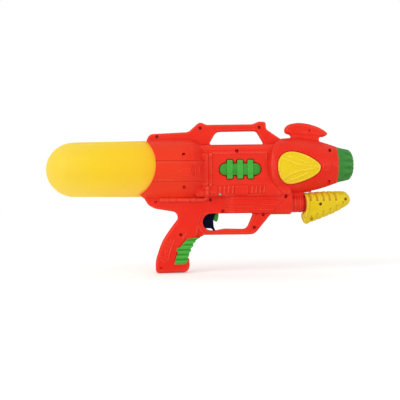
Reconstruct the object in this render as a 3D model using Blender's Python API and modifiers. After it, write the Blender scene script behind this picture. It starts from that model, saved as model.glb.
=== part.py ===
"""Hand-pumped toy water squirter, built as the pieces it is moulded and assembled from.

X runs from the tank to the muzzle, Z is up, and the parting plane of the housing is Y = 0.
All sizes are metres.
"""
import math

import bmesh
import bpy
from mathutils import Matrix, Vector

# Overall size and general clearances
LENGTH = 0.500
GAP = 0.0003
WALL = 0.0024

# Water tank, screwed into the cup at the back of the housing
TANK_R = 0.045
TANK_Z = 0.1695
TANK_WALL = 0.002
DOME_POWER = 2.25
NECK_R = 0.011
NECK_WALL = 0.0024
NECK_END_X = -0.012
NECK_LENGTH = 0.020
SHOULDER_LENGTH = 0.024
SEAL_THICK = 0.002
CUP_CLEAR = 0.001
CUP_SHOULDER = 0.018
CUP_FRONT_X = 0.004
MOUTH_SCOOP_R = 0.0622
MOUTH_SCOOP_X = -0.1325
MOUTH_SCOOP_RISE = 0.0035
COLLAR_WALL = 0.0025
COLLAR_FLANGE = 0.0017

# Nose, nozzle and fin
NOSE_Z = 0.1727
NOSE_R = 0.045
MUZZLE_R = 0.028
NOSE_FLATTEN = 0.95
NOSE_REAR_X = 0.110
NOSE_ARC_R = 0.058
NOSE_WIDEST_X = 0.152
NOSE_TAPER_X = 0.178
NOZZLE_LENGTH = 0.0275
NOZZLE_FLUTES = 12
NOZZLE_TUBE_R = 0.005
FIN_NECK_HALF = 0.006
FIN_CAP_HALF = 0.011

# Half thicknesses of the housing's forms, and how far their edges are rounded
SPINE_HALF = 0.013
SPINE_EDGE = 0.0035
GRIP_HALF = 0.017
GRIP_EDGE = 0.005
MID_HALF = 0.027
MID_EDGE = 0.005
BLOCK_HALF = 0.020
BLOCK_EDGE = 0.004

# Heights of the handle, body and guard
BAR_TOP = 0.240
BAR_BOTTOM = 0.2282
WINDOW_FLOOR = 0.2075
BODY_TOP = 0.201
BODY_BOTTOM = 0.123
GUARD_TOP = 0.0958
GUARD_SILL = 0.0697
GUARD_BOTTOM = 0.0613

# Pump
PUMP_Z = 0.111
SLEEVE_R = 0.0146
SLEEVE_WALL = 0.002
SLEEVE_FRONT_X = 0.182
BLOCK_FRONT_X = 0.1477
BORE_R = 0.0055
BARREL_WALL = 0.0017
BARREL_REAR_X = 0.066
BARREL_FRONT_X = 0.176
PISTON_LENGTH = 0.008
ROD_R = 0.0025
ROD_EYE_X = 0.1942
HANDLE_REAR_X = 0.1672
HANDLE_HALF = 0.020
HANDLE_EDGE = 0.004
SLEEVE_RUN = 0.0006
SLEEVE_FLANGE = 0.0009
SLEEVE_FLANGE_THICK = 0.0014

# Trigger and valve
PIN_X = 0.0327
PIN_R = 0.0015
PIN_OUT = 0.0004
ARM_LENGTH = 0.0144
TRIGGER_HALF = 0.0055
VALVE_Z = 0.141
VALVE_R = 0.008
VALVE_REAR_X = 0.047
VALVE_FRONT_X = 0.084
VALVE_BORE_R = 0.005
STEM_R = 0.0018
HOSE_R = 0.0034
HOSE_BORE_R = 0.0024
SPIGOT_R = 0.0016

# Screws that close the housing and the pump handle
SCREW_R = 0.0013
SCREW_HEAD_R = 0.0023
SCREW_HEAD = 0.0016
SCREW_SEAT = 0.007
SCREW_REACH = 0.008
BOSS_R = 0.0036
SINK_R = 0.0026

# Coloured inserts
CAPSULE_X = 0.0638
CAPSULE_Z = 0.1667
CAPSULE_LENGTH = 0.0645
CAPSULE_HEIGHT = 0.0185
BAND_PITCH = 0.0166
BAND_WIDTH = 0.0084
BAND_HEIGHT = 0.0303
INSERT_PROUD = 0.0014
INSERT_LIP = 0.0015
INLAY_PROUD = 0.0006

REAR_X = -LENGTH / 2
FRONT_X = LENGTH / 2
MUZZLE_X = FRONT_X - NOZZLE_LENGTH
CUP_R = TANK_R + CUP_CLEAR + WALL
PIN_Z = VALVE_Z - ARM_LENGTH
BARREL_R = BORE_R + BARREL_WALL
COLLAR_R = NECK_R + GAP + COLLAR_WALL
COLLAR_WALL_X = NECK_END_X + 2 * GAP + SEAL_THICK
HOLE_R = SCREW_R + GAP
ROUND = 28
INNER_ROUND = 20
SMALL_ROUND = 14
HOLE_ROUND = 8

# Centres of the housing screws in side view
SCREWS = (
    (-0.0681, 0.2208),
    (0.0018, BAR_TOP - 0.0061),
    (0.0974, BAR_TOP - 0.0058),
    (0.0600, BODY_TOP - 0.0053),
    (-0.0245, TANK_Z + 0.0206),
    (-0.0240, TANK_Z - 0.0310),
    (-0.0712, 0.1153),
    (0.0174, 0.1180),
    (0.0372, GUARD_TOP + 0.0040),
    (0.1385, PUMP_Z + 0.0114),
    (0.1021, 0.0935),
    (0.0879, GUARD_SILL + 0.0030),
    (-0.0309, 0.0623),
    (-0.0631, 0.0096),
    (0.1781, 0.2288),
    (MUZZLE_X - 0.0133, NOSE_Z + 0.0225),
    (MUZZLE_X - 0.0147, NOSE_Z - 0.0276),
)
PUMP_SCREWS = (
    (ROD_EYE_X, PUMP_Z),
    (ROD_EYE_X + 0.0405, PUMP_Z + 0.0057),
    (ROD_EYE_X - 0.0145, PUMP_Z - 0.0253),
)

# Side outlines as corners: X, Z and the radius that rounds the corner
SPINE = (
    (-0.0865, 0.2258, 0.007),
    (-0.0190, 0.2286, 0.008),
    (0.0005, 0.2458, 0.008),
    (0.0115, BAR_TOP, 0.010),
    (0.0860, BAR_TOP + 0.0002, 0.010),
    (0.0968, 0.2452, 0.006),
    (0.1072, 0.2448, 0.003),
    (0.1074, 0.2315, 0.006),
    (0.1400, 0.2090, 0.004),
    (0.1400, PUMP_Z + 0.0080, 0.004),
    (BLOCK_FRONT_X - 0.0010, PUMP_Z + 0.0040, 0.003),
    (BLOCK_FRONT_X - 0.0010, 0.0934, 0.003),
    (0.1153, 0.0934, 0.004),
    (0.0888, GUARD_BOTTOM, 0.009),
    (-0.0160, GUARD_BOTTOM, 0.004),
    (-0.0344, 0.0860, 0.006),
    (-0.0346, 0.0987, 0.006),
    (-0.0720, 0.1052, 0.014),
    (-0.0945, 0.1280, 0.004),
)
GRIP = (
    (-0.0724, 0.0, 0.006),
    (-0.0724, 0.0240, 0.050),
    (-0.0610, 0.0540, 0.060),
    (-0.0342, 0.0850, 0.010),
    (-0.0300, 0.1050, 0.006),
    (0.0040, 0.1050, 0.006),
    (0.0060, 0.0590, 0.006),
    (-0.0168, 0.0300, 0.010),
    (-0.0152, 0.0090, 0.008),
    (-0.0200, 0.0, 0.007),
)
HANDLE_WINDOW = (
    (0.0273, BAR_BOTTOM, 0.004),
    (0.0920, BAR_BOTTOM, 0.004),
    (0.1032, WINDOW_FLOOR, 0.004),
    (0.0160, WINDOW_FLOOR, 0.004),
)
GUARD_WINDOW = (
    (0.0063, GUARD_TOP, 0.0138),
    (0.0884, GUARD_TOP, 0.003),
    (0.0768, GUARD_SILL, 0.006),
    (0.0300, GUARD_SILL, 0.010),
    (0.0063, GUARD_SILL - 0.0024, 0.0138),
)
FIN_NECK = (
    (0.1498, NOSE_Z + 0.030, 0.002),
    (0.1498, 0.2270, 0.002),
    (0.1950, 0.2215, 0.002),
    (0.1950, NOSE_Z + 0.024, 0.002),
)
FIN_CAP = (
    (0.1380, 0.2262, 0.0045),
    (0.1400, 0.2383, 0.007),
    (0.1620, 0.2423, 0.040),
    (0.2105, 0.2216, 0.0028),
    (0.1990, 0.2182, 0.006),
)
GRIP_INSERT = (
    (0.0052, 0.0586, 0.002),
    (-0.0223, 0.0546, 0.004),
    (-0.0330, 0.0412, 0.002),
    (-0.0370, 0.0406, 0.002),
    (-0.0398, 0.0356, 0.002),
    (-0.0372, 0.0343, 0.001),
    (-0.0426, 0.0133, 0.001),
    (-0.0246, 0.0136, 0.003),
)
INSERT_TOOTH_START = (-0.0200, 0.0200)
INSERT_TOOTH_END = (-0.0062, 0.0516)
INSERT_TEETH = 5
INSERT_TOOTH_DEPTH = 0.0013
PUMP_HANDLE = (
    (HANDLE_REAR_X, PUMP_Z + 0.0172, 0.003),
    (HANDLE_REAR_X + 0.0730, PUMP_Z + 0.0174, 0.009),
    (HANDLE_REAR_X + 0.0795, PUMP_Z + 0.0004, 0.007),
    (HANDLE_REAR_X + 0.0065, PUMP_Z - 0.0345, 0.006),
    (HANDLE_REAR_X - 0.0010, PUMP_Z - 0.0310, 0.006),
)
TEARDROP = (
    (0.1225, 0.1955, 0.022),
    (0.1560, 0.1965, 0.030),
    (0.1958, 0.1700, 0.006),
    (0.1560, 0.1400, 0.030),
    (0.1225, 0.1385, 0.022),
)
TRIGGER_BLADE = (
    (0.0245, GUARD_TOP + 0.0030, 0.002),
    (0.0215, 0.0840, 0.012),
    (0.0260, GUARD_SILL + 0.0005, 0.0015),
    (0.0098, GUARD_SILL + 0.0038, 0.002),
    (0.0035, GUARD_SILL + 0.0100, 0.004),
    (0.0040, 0.0900, 0.004),
    (0.0120, GUARD_TOP + 0.0030, 0.003),
)
TRIGGER_NECK = (
    (PIN_X + 0.0055, PIN_Z + 0.0055, 0.0054),
    (PIN_X + 0.0050, PIN_Z - 0.0100, 0.004),
    (0.0244, GUARD_TOP + 0.0005, 0.001),
    (0.0125, GUARD_TOP + 0.0005, 0.001),
    (0.0230, GUARD_TOP + 0.0090, 0.004),
    (PIN_X - 0.0055, PIN_Z - 0.0080, 0.003),
    (PIN_X - 0.0055, PIN_Z + 0.0055, 0.0054),
)
LEVER = (
    (PIN_X - 0.0040, PIN_Z + 0.0060, 0.003),
    (PIN_X - 0.0010, VALVE_Z + 0.0022, 0.0012),
    (PIN_X + 0.0030, VALVE_Z + 0.0022, 0.0012),
    (PIN_X + 0.0030, VALVE_Z - 0.0045, 0.003),
    (PIN_X + 0.0050, PIN_Z, 0.004),
    (0.0318, GUARD_TOP + 0.0040, 0.003),
    (0.0306, 0.0880, 0.003),
    (0.0272, 0.0806, 0.0012),
    (0.0252, 0.0880, 0.002),
    (0.0250, GUARD_TOP + 0.0040, 0.002),
    (PIN_X - 0.0050, PIN_Z - 0.0100, 0.004),
)


def clear_scene():
    """Remove every object and the data that comes with a new file."""
    for item in list(bpy.data.objects):
        bpy.data.objects.remove(item, do_unlink=True)
    for store in (bpy.data.meshes, bpy.data.curves, bpy.data.materials, bpy.data.cameras, bpy.data.lights):
        for block in list(store):
            store.remove(block)
    for group in list(bpy.data.collections):
        bpy.data.collections.remove(group)


def make_material(name, colour, roughness, metallic=0.0):
    """Plain material for one kind of piece."""
    made = bpy.data.materials.new(name)
    made.use_nodes = True
    shader = made.node_tree.nodes["Principled BSDF"]
    shader.inputs["Base Color"].default_value = (*colour, 1.0)
    shader.inputs["Roughness"].default_value = roughness
    shader.inputs["Metallic"].default_value = metallic
    return made


def add_object(name, data):
    """Link a new object for mesh or curve data to the scene."""
    made = bpy.data.objects.new(name, data)
    bpy.context.scene.collection.objects.link(made)
    return made


def tidy_mesh(mesh, turn_out, weld=1e-6):
    """Weld coincident points, drop collapsed faces and, on a plain solid, turn the faces outwards."""
    work = bmesh.new()
    work.from_mesh(mesh)
    bmesh.ops.remove_doubles(work, verts=work.verts, dist=weld)
    bmesh.ops.dissolve_degenerate(work, edges=work.edges, dist=weld)
    if turn_out:
        bmesh.ops.recalc_face_normals(work, faces=work.faces)
    work.to_mesh(mesh)
    work.free()


def bake(source, turn_out=True, keep=False):
    """Plain mesh object of an object's evaluated shape, in world place; the source goes unless kept."""
    graph = bpy.context.evaluated_depsgraph_get()
    mesh = bpy.data.meshes.new_from_object(source.evaluated_get(graph), depsgraph=graph)
    mesh.transform(source.matrix_world)
    name = source.name
    if not keep:
        bpy.data.objects.remove(source, do_unlink=True)
    tidy_mesh(mesh, turn_out)
    return add_object(name, mesh)


def volume_of(mesh):
    """Signed volume of a closed mesh."""
    work = bmesh.new()
    work.from_mesh(mesh)
    volume = work.calc_volume(signed=True)
    work.free()
    return volume


def is_sound(mesh, operation, before, other):
    """True if a Boolean result is closed and its volume is possible for the operation."""
    work = bmesh.new()
    work.from_mesh(mesh)
    closed = all(len(edge.link_faces) == 2 for edge in work.edges)
    work.free()
    low, high = {
        "UNION": (max(before, other), before + other),
        "DIFFERENCE": (before - other, before),
        "INTERSECT": (0.0, min(before, other)),
    }[operation]
    slack = 1e-4 * before
    return closed and max(low, slack) - slack <= volume_of(mesh) <= high + slack


def combine(base, operation, *others):
    """Boolean the other solids into the base one after another and remove them."""
    for other in others:
        before = volume_of(base.data)
        added = volume_of(other.data)
        for solver in ("EXACT", "MANIFOLD"):
            step = base.modifiers.new("step", "BOOLEAN")
            step.operation = operation
            step.solver = solver
            step.object = other
            bpy.context.view_layer.update()
            made = bake(base, turn_out=False, keep=True)
            base.modifiers.clear()
            if is_sound(made.data, operation, before, added) or solver == "MANIFOLD":
                break
            bpy.data.objects.remove(made, do_unlink=True)
        bpy.data.objects.remove(base, do_unlink=True)
        bpy.data.objects.remove(other, do_unlink=True)
        base = made
    return base


def unite(base, *others):
    """Union of solids."""
    return combine(base, "UNION", *others)


def cut(base, *others):
    """Base minus the other solids."""
    return combine(base, "DIFFERENCE", *others)


def common(base, other):
    """Shared part of two solids."""
    return combine(base, "INTERSECT", other)


def duplicate(source, name):
    """Independent copy of a solid."""
    return add_object(name, source.data.copy())


def join(name, solids):
    """Gather separate solids into one mesh, for use as a single cutter."""
    work = bmesh.new()
    for solid in solids:
        work.from_mesh(solid.data)
    mesh = bpy.data.meshes.new(name)
    work.to_mesh(mesh)
    work.free()
    for solid in solids:
        bpy.data.objects.remove(solid, do_unlink=True)
    return add_object(name, mesh)


def rounded_loop(corners, inset=0.0, step=math.radians(36)):
    """Closed outline through filleted corners, moved inwards by inset (outwards if negative)."""
    count = len(corners)
    points = [Vector(corner[:2]) for corner in corners]
    area = sum(points[i - 1].cross(points[i]) for i in range(count))
    side = 1.0 if area > 0 else -1.0
    loop = []
    for i in range(count):
        before = (points[i] - points[i - 1]).normalized()
        after = (points[(i + 1) % count] - points[i]).normalized()
        turn = before.cross(after) * side
        angle = before.angle(after)
        normal = Vector((-before.y, before.x)) * side
        normal_after = Vector((-after.y, after.x)) * side
        middle = (normal + normal_after).normalized()
        corner = points[i] + middle * (inset / max(middle.dot(normal), 0.2))
        radius = max(corners[i][2] - inset * (1.0 if turn > 0 else -1.0), 0.0002)
        reach = radius * math.tan(angle / 2)
        start = corner - before * reach
        bend = (1.0 if turn > 0 else -1.0) * side
        centre = start + Vector((-before.y, before.x)) * (bend * radius)
        steps = max(1, math.ceil(angle / step))
        for k in range(steps + 1):
            spoke = start - centre
            spoke.rotate(Matrix.Rotation(bend * angle * k / steps, 2))
            loop.append((centre.x + spoke.x, centre.y + spoke.y))
    return loop


def rectangle(low_x, low_z, high_x, high_z, radius):
    """Corners of an upright rectangle for rounded_loop."""
    return (
        (low_x, low_z, radius),
        (high_x, low_z, radius),
        (high_x, high_z, radius),
        (low_x, high_z, radius),
    )


def prism(name, loop, low_y, high_y, edge=0.0, edge_steps=0):
    """Side outline in X and Z drawn out along Y, with its rims rounded by edge."""
    curve = bpy.data.curves.new(name, "CURVE")
    curve.dimensions = "2D"
    curve.fill_mode = "BOTH"
    curve.extrude = (high_y - low_y) / 2 - edge
    curve.bevel_depth = edge
    curve.offset = -edge
    curve.bevel_resolution = edge_steps
    spline = curve.splines.new("POLY")
    spline.points.add(len(loop) - 1)
    for point, (x, z) in zip(spline.points, loop):
        point.co = (x, z, 0.0, 1.0)
    spline.use_cyclic_u = True
    made = add_object(name, curve)
    made.rotation_euler = (math.pi / 2, 0.0, 0.0)
    made.location = (0.0, (low_y + high_y) / 2, 0.0)
    bpy.context.view_layer.update()
    return bake(made)


def plate(name, corners, half, edge=0.0, inset=0.0, edge_steps=0):
    """Filleted outline drawn out evenly to both sides of the parting plane."""
    step = math.radians(50 if inset > 0 else 30)
    return prism(name, rounded_loop(corners, inset, step), -half, half, edge, edge_steps)


def turned(name, profile, axis_z, steps=ROUND, closed=False):
    """Profile of (X, radius) points turned about a line along X at height axis_z."""
    mesh = bpy.data.meshes.new(name)
    edges = [(i, i + 1) for i in range(len(profile) - 1)]
    if closed:
        edges.append((len(profile) - 1, 0))
    mesh.from_pydata([(radius, 0.0, x) for x, radius in profile], edges, [])
    made = add_object(name, mesh)
    screw = made.modifiers.new("turn", "SCREW")
    screw.steps = steps
    screw.render_steps = steps
    screw.use_merge_vertices = True
    screw.merge_threshold = 1e-6
    made.rotation_euler = (0.0, math.pi / 2, 0.0)
    made.location = (0.0, 0.0, axis_z)
    bpy.context.view_layer.update()
    return bake(made)


def rod(name, start, end, radius, sides=SMALL_ROUND):
    """Round bar between two points."""
    start = Vector(start)
    end = Vector(end)
    run = end - start
    place = Matrix.Translation((start + end) / 2) @ run.to_track_quat("Z", "Y").to_matrix().to_4x4()
    work = bmesh.new()
    bmesh.ops.create_cone(work, cap_ends=True, segments=sides, radius1=radius, radius2=radius,
                          depth=run.length, matrix=place)
    mesh = bpy.data.meshes.new(name)
    work.to_mesh(mesh)
    work.free()
    return add_object(name, mesh)


def box(name, low, high):
    """Block between two opposite corners."""
    low = Vector(low)
    high = Vector(high)
    place = Matrix.Translation((low + high) / 2) @ Matrix.Diagonal((*(high - low), 1.0))
    work = bmesh.new()
    bmesh.ops.create_cube(work, size=1.0, matrix=place)
    mesh = bpy.data.meshes.new(name)
    work.to_mesh(mesh)
    work.free()
    return add_object(name, mesh)


def wire(name, points, radius, resolution=1):
    """Round wire or hose along a line of points, with capped ends."""
    curve = bpy.data.curves.new(name, "CURVE")
    curve.dimensions = "3D"
    curve.bevel_depth = radius
    curve.bevel_resolution = resolution
    curve.use_fill_caps = True
    spline = curve.splines.new("POLY")
    spline.points.add(len(points) - 1)
    for point, place in zip(spline.points, points):
        point.co = (*place, 1.0)
    made = add_object(name, curve)
    bpy.context.view_layer.update()
    return bake(made)


def bend_path(points, steps=3):
    """Line through the points, straight at both ends and smooth between them."""
    knots = [Vector(point) for point in points]
    line = [knots[0]]
    for a, b, c, d in zip(knots, knots[1:], knots[2:], knots[3:]):
        for k in range(steps):
            t = k / steps
            line.append(0.5 * (2 * b + (c - a) * t + (2 * a - 5 * b + 4 * c - d) * t * t
                               + (3 * b - a - 3 * c + d) * t ** 3))
    return line + knots[-2:]


def hose(name, points):
    """Soft hose with a bore, pushed over a spigot at each end."""
    line = bend_path(points)
    reach = (line[0] - line[1]).normalized() * 0.002
    reach_end = (line[-1] - line[-2]).normalized() * 0.002
    core = wire(name + "_core", [line[0] + reach] + line + [line[-1] + reach_end], HOSE_BORE_R)
    return cut(wire(name, line, HOSE_R), core)


def simplify(solid):
    """Merge the flat faces that Boolean steps have split."""
    work = bmesh.new()
    work.from_mesh(solid.data)
    bmesh.ops.dissolve_limit(work, angle_limit=math.radians(0.3), verts=work.verts, edges=work.edges)
    bmesh.ops.triangulate(work, faces=[face for face in work.faces if len(face.verts) > 4])
    work.to_mesh(solid.data)
    work.free()
    return solid


def publish(solid, name, material, group, origin=(0.0, 0.0, 0.0), crease=35):
    """Name a finished piece, give it its material, origin and shading, and file it with the parts."""
    offset = Vector(origin)
    solid.data.transform(Matrix.Translation(-offset))
    solid.location = offset
    solid.name = name
    solid.data.name = name
    solid.data.materials.clear()
    solid.data.materials.append(material)
    solid.data.shade_smooth()
    solid.data.set_sharp_from_angle(angle=math.radians(crease))
    for home in list(solid.users_collection):
        home.objects.unlink(solid)
    group.objects.link(solid)
    return solid


def ellipse_arc(start, end, steps, rise_first):
    """Quarter ellipse of (X, radius) points from start to end."""
    (x0, r0), (x1, r1) = start, end
    points = []
    for k in range(steps + 1):
        angle = math.pi / 2 * k / steps
        grow = (1 - math.cos(angle), math.sin(angle))
        if not rise_first:
            grow = (math.sin(angle), 1 - math.cos(angle))
        points.append((x0 + (x1 - x0) * grow[0], r0 + (r1 - r0) * grow[1]))
    return points


def tank_profile(inset):
    """Tank wall as (X, radius) points from the dome to the mouth of the neck."""
    radius = TANK_R - inset
    depth = TANK_R - inset
    rear = REAR_X + inset
    points = []
    steps = 6
    for k in range(steps + 1):
        angle = math.pi / 2 * k / steps
        along = math.cos(angle) ** (2 / DOME_POWER)
        out = math.sin(angle) ** (2 / DOME_POWER)
        points.append((rear + depth - depth * along, radius * out))
    neck_start = NECK_END_X - NECK_LENGTH
    neck = NECK_R - (NECK_WALL if inset else 0.0)
    points += ellipse_arc((neck_start - SHOULDER_LENGTH, radius), (neck_start - inset, neck), 4, False)
    return points


def build_tank():
    """Blown tank with a domed end and a plain neck."""
    outer = tank_profile(0.0) + [(NECK_END_X, NECK_R)]
    inner = tank_profile(TANK_WALL) + [(NECK_END_X, NECK_R - NECK_WALL)]
    return turned("tank", outer + inner[::-1], TANK_Z)


def build_tank_seal():
    """Flat washer between the mouth of the tank and the collar."""
    start = NECK_END_X + GAP
    end = start + SEAL_THICK
    inside = NECK_R - NECK_WALL
    outside = NECK_R - GAP
    ring = [(start, outside), (end, outside), (end, inside), (start, inside)]
    return turned("tank_seal", ring, TANK_Z, 18, closed=True)


def collar_web():
    """X range of the disc inside the housing that the collar sits in."""
    start = COLLAR_WALL_X - 0.0075
    return start, start + WALL


def spigot_points():
    """Air and water spigot places on the front of the collar."""
    lift = 0.55 * NECK_R
    return (TANK_Z + lift, TANK_Z - lift)


def build_collar():
    """Fixed collar that takes the neck of the tank, with a water and an air spigot."""
    rear = NECK_END_X - NECK_LENGTH + 0.003
    front = COLLAR_WALL_X + WALL
    low, high = collar_web()
    flange = COLLAR_R + 0.0018
    bore = NECK_R + GAP
    outline = [
        (rear, bore), (rear, COLLAR_R),
        (low - GAP - COLLAR_FLANGE, COLLAR_R), (low - GAP - COLLAR_FLANGE, flange),
        (low - GAP, flange), (low - GAP, COLLAR_R),
        (high + GAP, COLLAR_R), (high + GAP, flange),
        (high + GAP + COLLAR_FLANGE, flange), (high + GAP + COLLAR_FLANGE, COLLAR_R),
        (front, COLLAR_R), (front, 0.0),
    ]
    solid = turned("collar", outline + [(COLLAR_WALL_X, 0.0), (COLLAR_WALL_X, bore)], TANK_Z, 18, closed=True)
    stubs = [rod("stub", (front - 0.001, 0, z), (front + 0.012, 0, z), SPIGOT_R, HOLE_ROUND)
             for z in spigot_points()]
    bores = [rod("bore", (COLLAR_WALL_X - 0.002, 0, z), (front + 0.013, 0, z), SPIGOT_R / 2, HOLE_ROUND)
             for z in spigot_points()]
    return cut(unite(solid, join("stubs", stubs)), join("bores", bores))


def nose_profile(inset):
    """Nose radius from behind its rear arc to the muzzle."""
    points = [(NOSE_REAR_X - 0.020, 0.0), (NOSE_REAR_X - 0.020, NOSE_R * 0.95 - inset)]
    run = NOSE_TAPER_X - NOSE_WIDEST_X
    fall = run * run * (NOSE_R - MUZZLE_R) / (MUZZLE_X - NOSE_WIDEST_X) ** 2 * 1.6
    start = NOSE_REAR_X + 0.012
    for k in range(3):
        x = start + (NOSE_WIDEST_X - start) * k / 2
        share = (NOSE_WIDEST_X - x) / (NOSE_WIDEST_X - start)
        points.append((x, NOSE_R * (1 - 0.035 * share * share) - inset))
    for k in (1, 2):
        x = NOSE_WIDEST_X + run * k / 2
        points.append((x, NOSE_R - fall * (k / 2) ** 2 - inset))
    end = MUZZLE_X - inset
    points.append((end, MUZZLE_R - inset))
    points.append((end, 0.0))
    return points


def build_nose(inset):
    """Round cowl of the nose, flattened sideways and rounded at the back in side view."""
    solid = turned("nose", nose_profile(inset), NOSE_Z, INNER_ROUND if inset > 0 else ROUND)
    solid.data.transform(Matrix.Diagonal((1.0, NOSE_FLATTEN, 1.0, 1.0)))
    ends = ((NOSE_REAR_X, NOSE_Z + NOSE_ARC_R + 0.0005, NOSE_ARC_R),
            (NOSE_REAR_X, NOSE_Z - NOSE_ARC_R - 0.0005, NOSE_ARC_R),
            (FRONT_X, NOSE_Z - NOSE_ARC_R - 0.0005, 0.002),
            (FRONT_X, NOSE_Z + NOSE_ARC_R + 0.0005, 0.002))
    loop = rounded_loop(ends, inset, math.radians(12))
    return common(solid, prism("nose_side", loop, -2 * NOSE_R, 2 * NOSE_R))


def build_cup(inset):
    """Round cup that holds the front of the tank."""
    radius = CUP_R - inset
    front = CUP_FRONT_X - inset
    rear = MOUTH_SCOOP_X - inset
    points = [(rear, 0.0), (rear, radius)]
    points += ellipse_arc((front - CUP_SHOULDER, radius), (front, radius - CUP_SHOULDER), 3, False)
    points.append((front, 0.0))
    return turned("cup", points, TANK_Z, INNER_ROUND if inset else ROUND)


def mid_corners():
    """Side outline of the thick middle of the body."""
    return rectangle(CUP_FRONT_X - 0.012, BODY_BOTTOM, NOSE_REAR_X + 0.022, BODY_TOP, 0.006)


def block_corners():
    """Side outline of the pump housing under the body."""
    return rectangle(0.0335, GUARD_TOP + 0.0004, BLOCK_FRONT_X, BODY_BOTTOM + 0.010, 0.004)


def insert_loop(inset):
    """Outline of the grip insert with its row of teeth up the front."""
    start = Vector(INSERT_TOOTH_START)
    run = Vector(INSERT_TOOTH_END) - start
    out = Vector((run.y, -run.x)).normalized() * INSERT_TOOTH_DEPTH
    teeth = []
    for k in range(INSERT_TEETH):
        base = start + run * (k / INSERT_TEETH)
        tip = start + run * ((k + 0.7) / INSERT_TEETH) + out
        teeth.append((base.x, base.y, 0.0003))
        teeth.append((tip.x, tip.y, 0.0003))
    corners = GRIP_INSERT + tuple(teeth) + ((INSERT_TOOTH_END[0], INSERT_TOOTH_END[1], 0.002),)
    return rounded_loop(corners, inset)


def insert_cutout(inset):
    """Outline of the opening for the grip insert, open past the front of the grip."""
    front = ((-0.0170, 0.0240, 0.0005), (0.0080, 0.0500, 0.0005))
    return rounded_loop(GRIP_INSERT + front, inset)


def capsule_prism(name, inset, low_y, high_y):
    """Capsule outline of the side insert drawn out along Y."""
    half = CAPSULE_HEIGHT / 2
    length = CAPSULE_LENGTH / 2
    corners = rectangle(CAPSULE_X - length, CAPSULE_Z - half, CAPSULE_X + length, CAPSULE_Z + half, half * 0.98)
    return prism(name, rounded_loop(corners, inset, math.radians(24)), low_y, high_y)


def outer_form():
    """Outside of the whole housing as one solid."""
    solid = plate("spine", SPINE, SPINE_HALF, SPINE_EDGE)
    return unite(
        solid,
        plate("grip", GRIP, GRIP_HALF, GRIP_EDGE, edge_steps=1),
        build_cup(0.0),
        plate("mid", mid_corners(), MID_HALF, MID_EDGE),
        plate("block", block_corners(), BLOCK_HALF, BLOCK_EDGE),
        build_nose(0.0),
        plate("fin_neck", FIN_NECK, FIN_NECK_HALF),
        plate("fin_cap", FIN_CAP, FIN_CAP_HALF, 0.004),
    )


def inner_form():
    """Hollow of the housing, a wall inside the outer forms."""
    return unite(
        plate("spine_in", SPINE, SPINE_HALF - WALL, inset=WALL),
        plate("grip_in", GRIP, GRIP_HALF - WALL, inset=WALL),
        build_cup(WALL),
        plate("mid_in", mid_corners(), MID_HALF - WALL, inset=WALL),
        plate("block_in", block_corners(), BLOCK_HALF - WALL, inset=WALL),
        build_nose(WALL),
        plate("fin_in", FIN_CAP, FIN_CAP_HALF - WALL, inset=WALL),
    )


def web_solids():
    """Cross walls inside the housing that carry the collar, valve and pump barrel."""
    low, high = collar_web()
    disc = rod("web", (low, 0, TANK_Z), (high, 0, TANK_Z), CUP_R - WALL / 2, ROUND)
    webs = [disc]
    for x in (VALVE_REAR_X + 0.005, VALVE_FRONT_X - 0.0075):
        webs.append(box("web", (x, -MID_HALF, VALVE_Z - 0.0115), (x + WALL, MID_HALF, VALVE_Z + 0.013)))
    barrel = BARREL_REAR_X + 0.010
    webs.append(box("web", (barrel, -BLOCK_HALF, GUARD_TOP), (barrel + WALL, BLOCK_HALF, PUMP_Z + 0.0125)))
    return join("webs", webs)


def web_holes():
    """Clear holes through the cross walls."""
    low, high = collar_web()
    holes = [rod("hole", (low - GAP, 0, TANK_Z), (high + GAP, 0, TANK_Z), COLLAR_R + GAP, 18)]
    for x in (VALVE_REAR_X + 0.005, VALVE_FRONT_X - 0.0075):
        holes.append(rod("hole", (x - GAP, 0, VALVE_Z), (x + WALL + GAP, 0, VALVE_Z), VALVE_R + GAP, 16))
    barrel = BARREL_REAR_X + 0.010
    holes.append(rod("hole", (barrel - GAP, 0, PUMP_Z), (barrel + WALL + GAP, 0, PUMP_Z), BARREL_R + GAP, 16))
    front = BLOCK_FRONT_X - WALL
    holes.append(rod("hole", (front - 0.001, 0, PUMP_Z), (front + 0.006, 0, PUMP_Z), SLEEVE_R + GAP, 22))
    tube = (MUZZLE_X - 0.006, 0, NOSE_Z), (MUZZLE_X + 0.002, 0, NOSE_Z)
    holes.append(rod("hole", *tube, NOZZLE_TUBE_R + GAP, 14))
    return join("web_holes", holes)


def flange_pocket():
    """Room behind the front wall of the pump housing for the sleeve's flange."""
    front = BLOCK_FRONT_X - WALL
    rear = front - SLEEVE_FLANGE_THICK - 2 * GAP
    return rod("pocket", (rear, 0, PUMP_Z), (front, 0, PUMP_Z), SLEEVE_R + SLEEVE_FLANGE + GAP, 22)


def trigger_slots():
    """Clearance in the housing for the trigger and lever to swing through."""
    half = TRIGGER_HALF + 0.0008
    top = box("slot", (-0.006, -half, GUARD_TOP - 0.004), (0.0335, half, GUARD_TOP + 0.0032))
    back = box("slot", (-0.006, -half, GUARD_SILL + 0.0005), (0.020, half, GUARD_TOP - 0.001))
    return unite(top, back)


def screw_bosses():
    """Posts on the parting plane at every housing screw."""
    return join("bosses", [rod("boss", (x, -0.060, z), (x, 0.060, z), BOSS_R, 6) for x, z in SCREWS])


def screw_holes(places, depth):
    """Sunk head, clear shank and blind thread hole for every screw."""
    sinks = [rod("sink", (x, -depth, z), (x, -SCREW_SEAT + GAP, z), SINK_R, HOLE_ROUND) for x, z in places]
    shanks = [rod("shank", (x, -SCREW_SEAT - GAP, z), (x, SCREW_REACH + GAP, z), HOLE_R, HOLE_ROUND)
              for x, z in places]
    return join("sinks", sinks), join("shanks", shanks)


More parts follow.
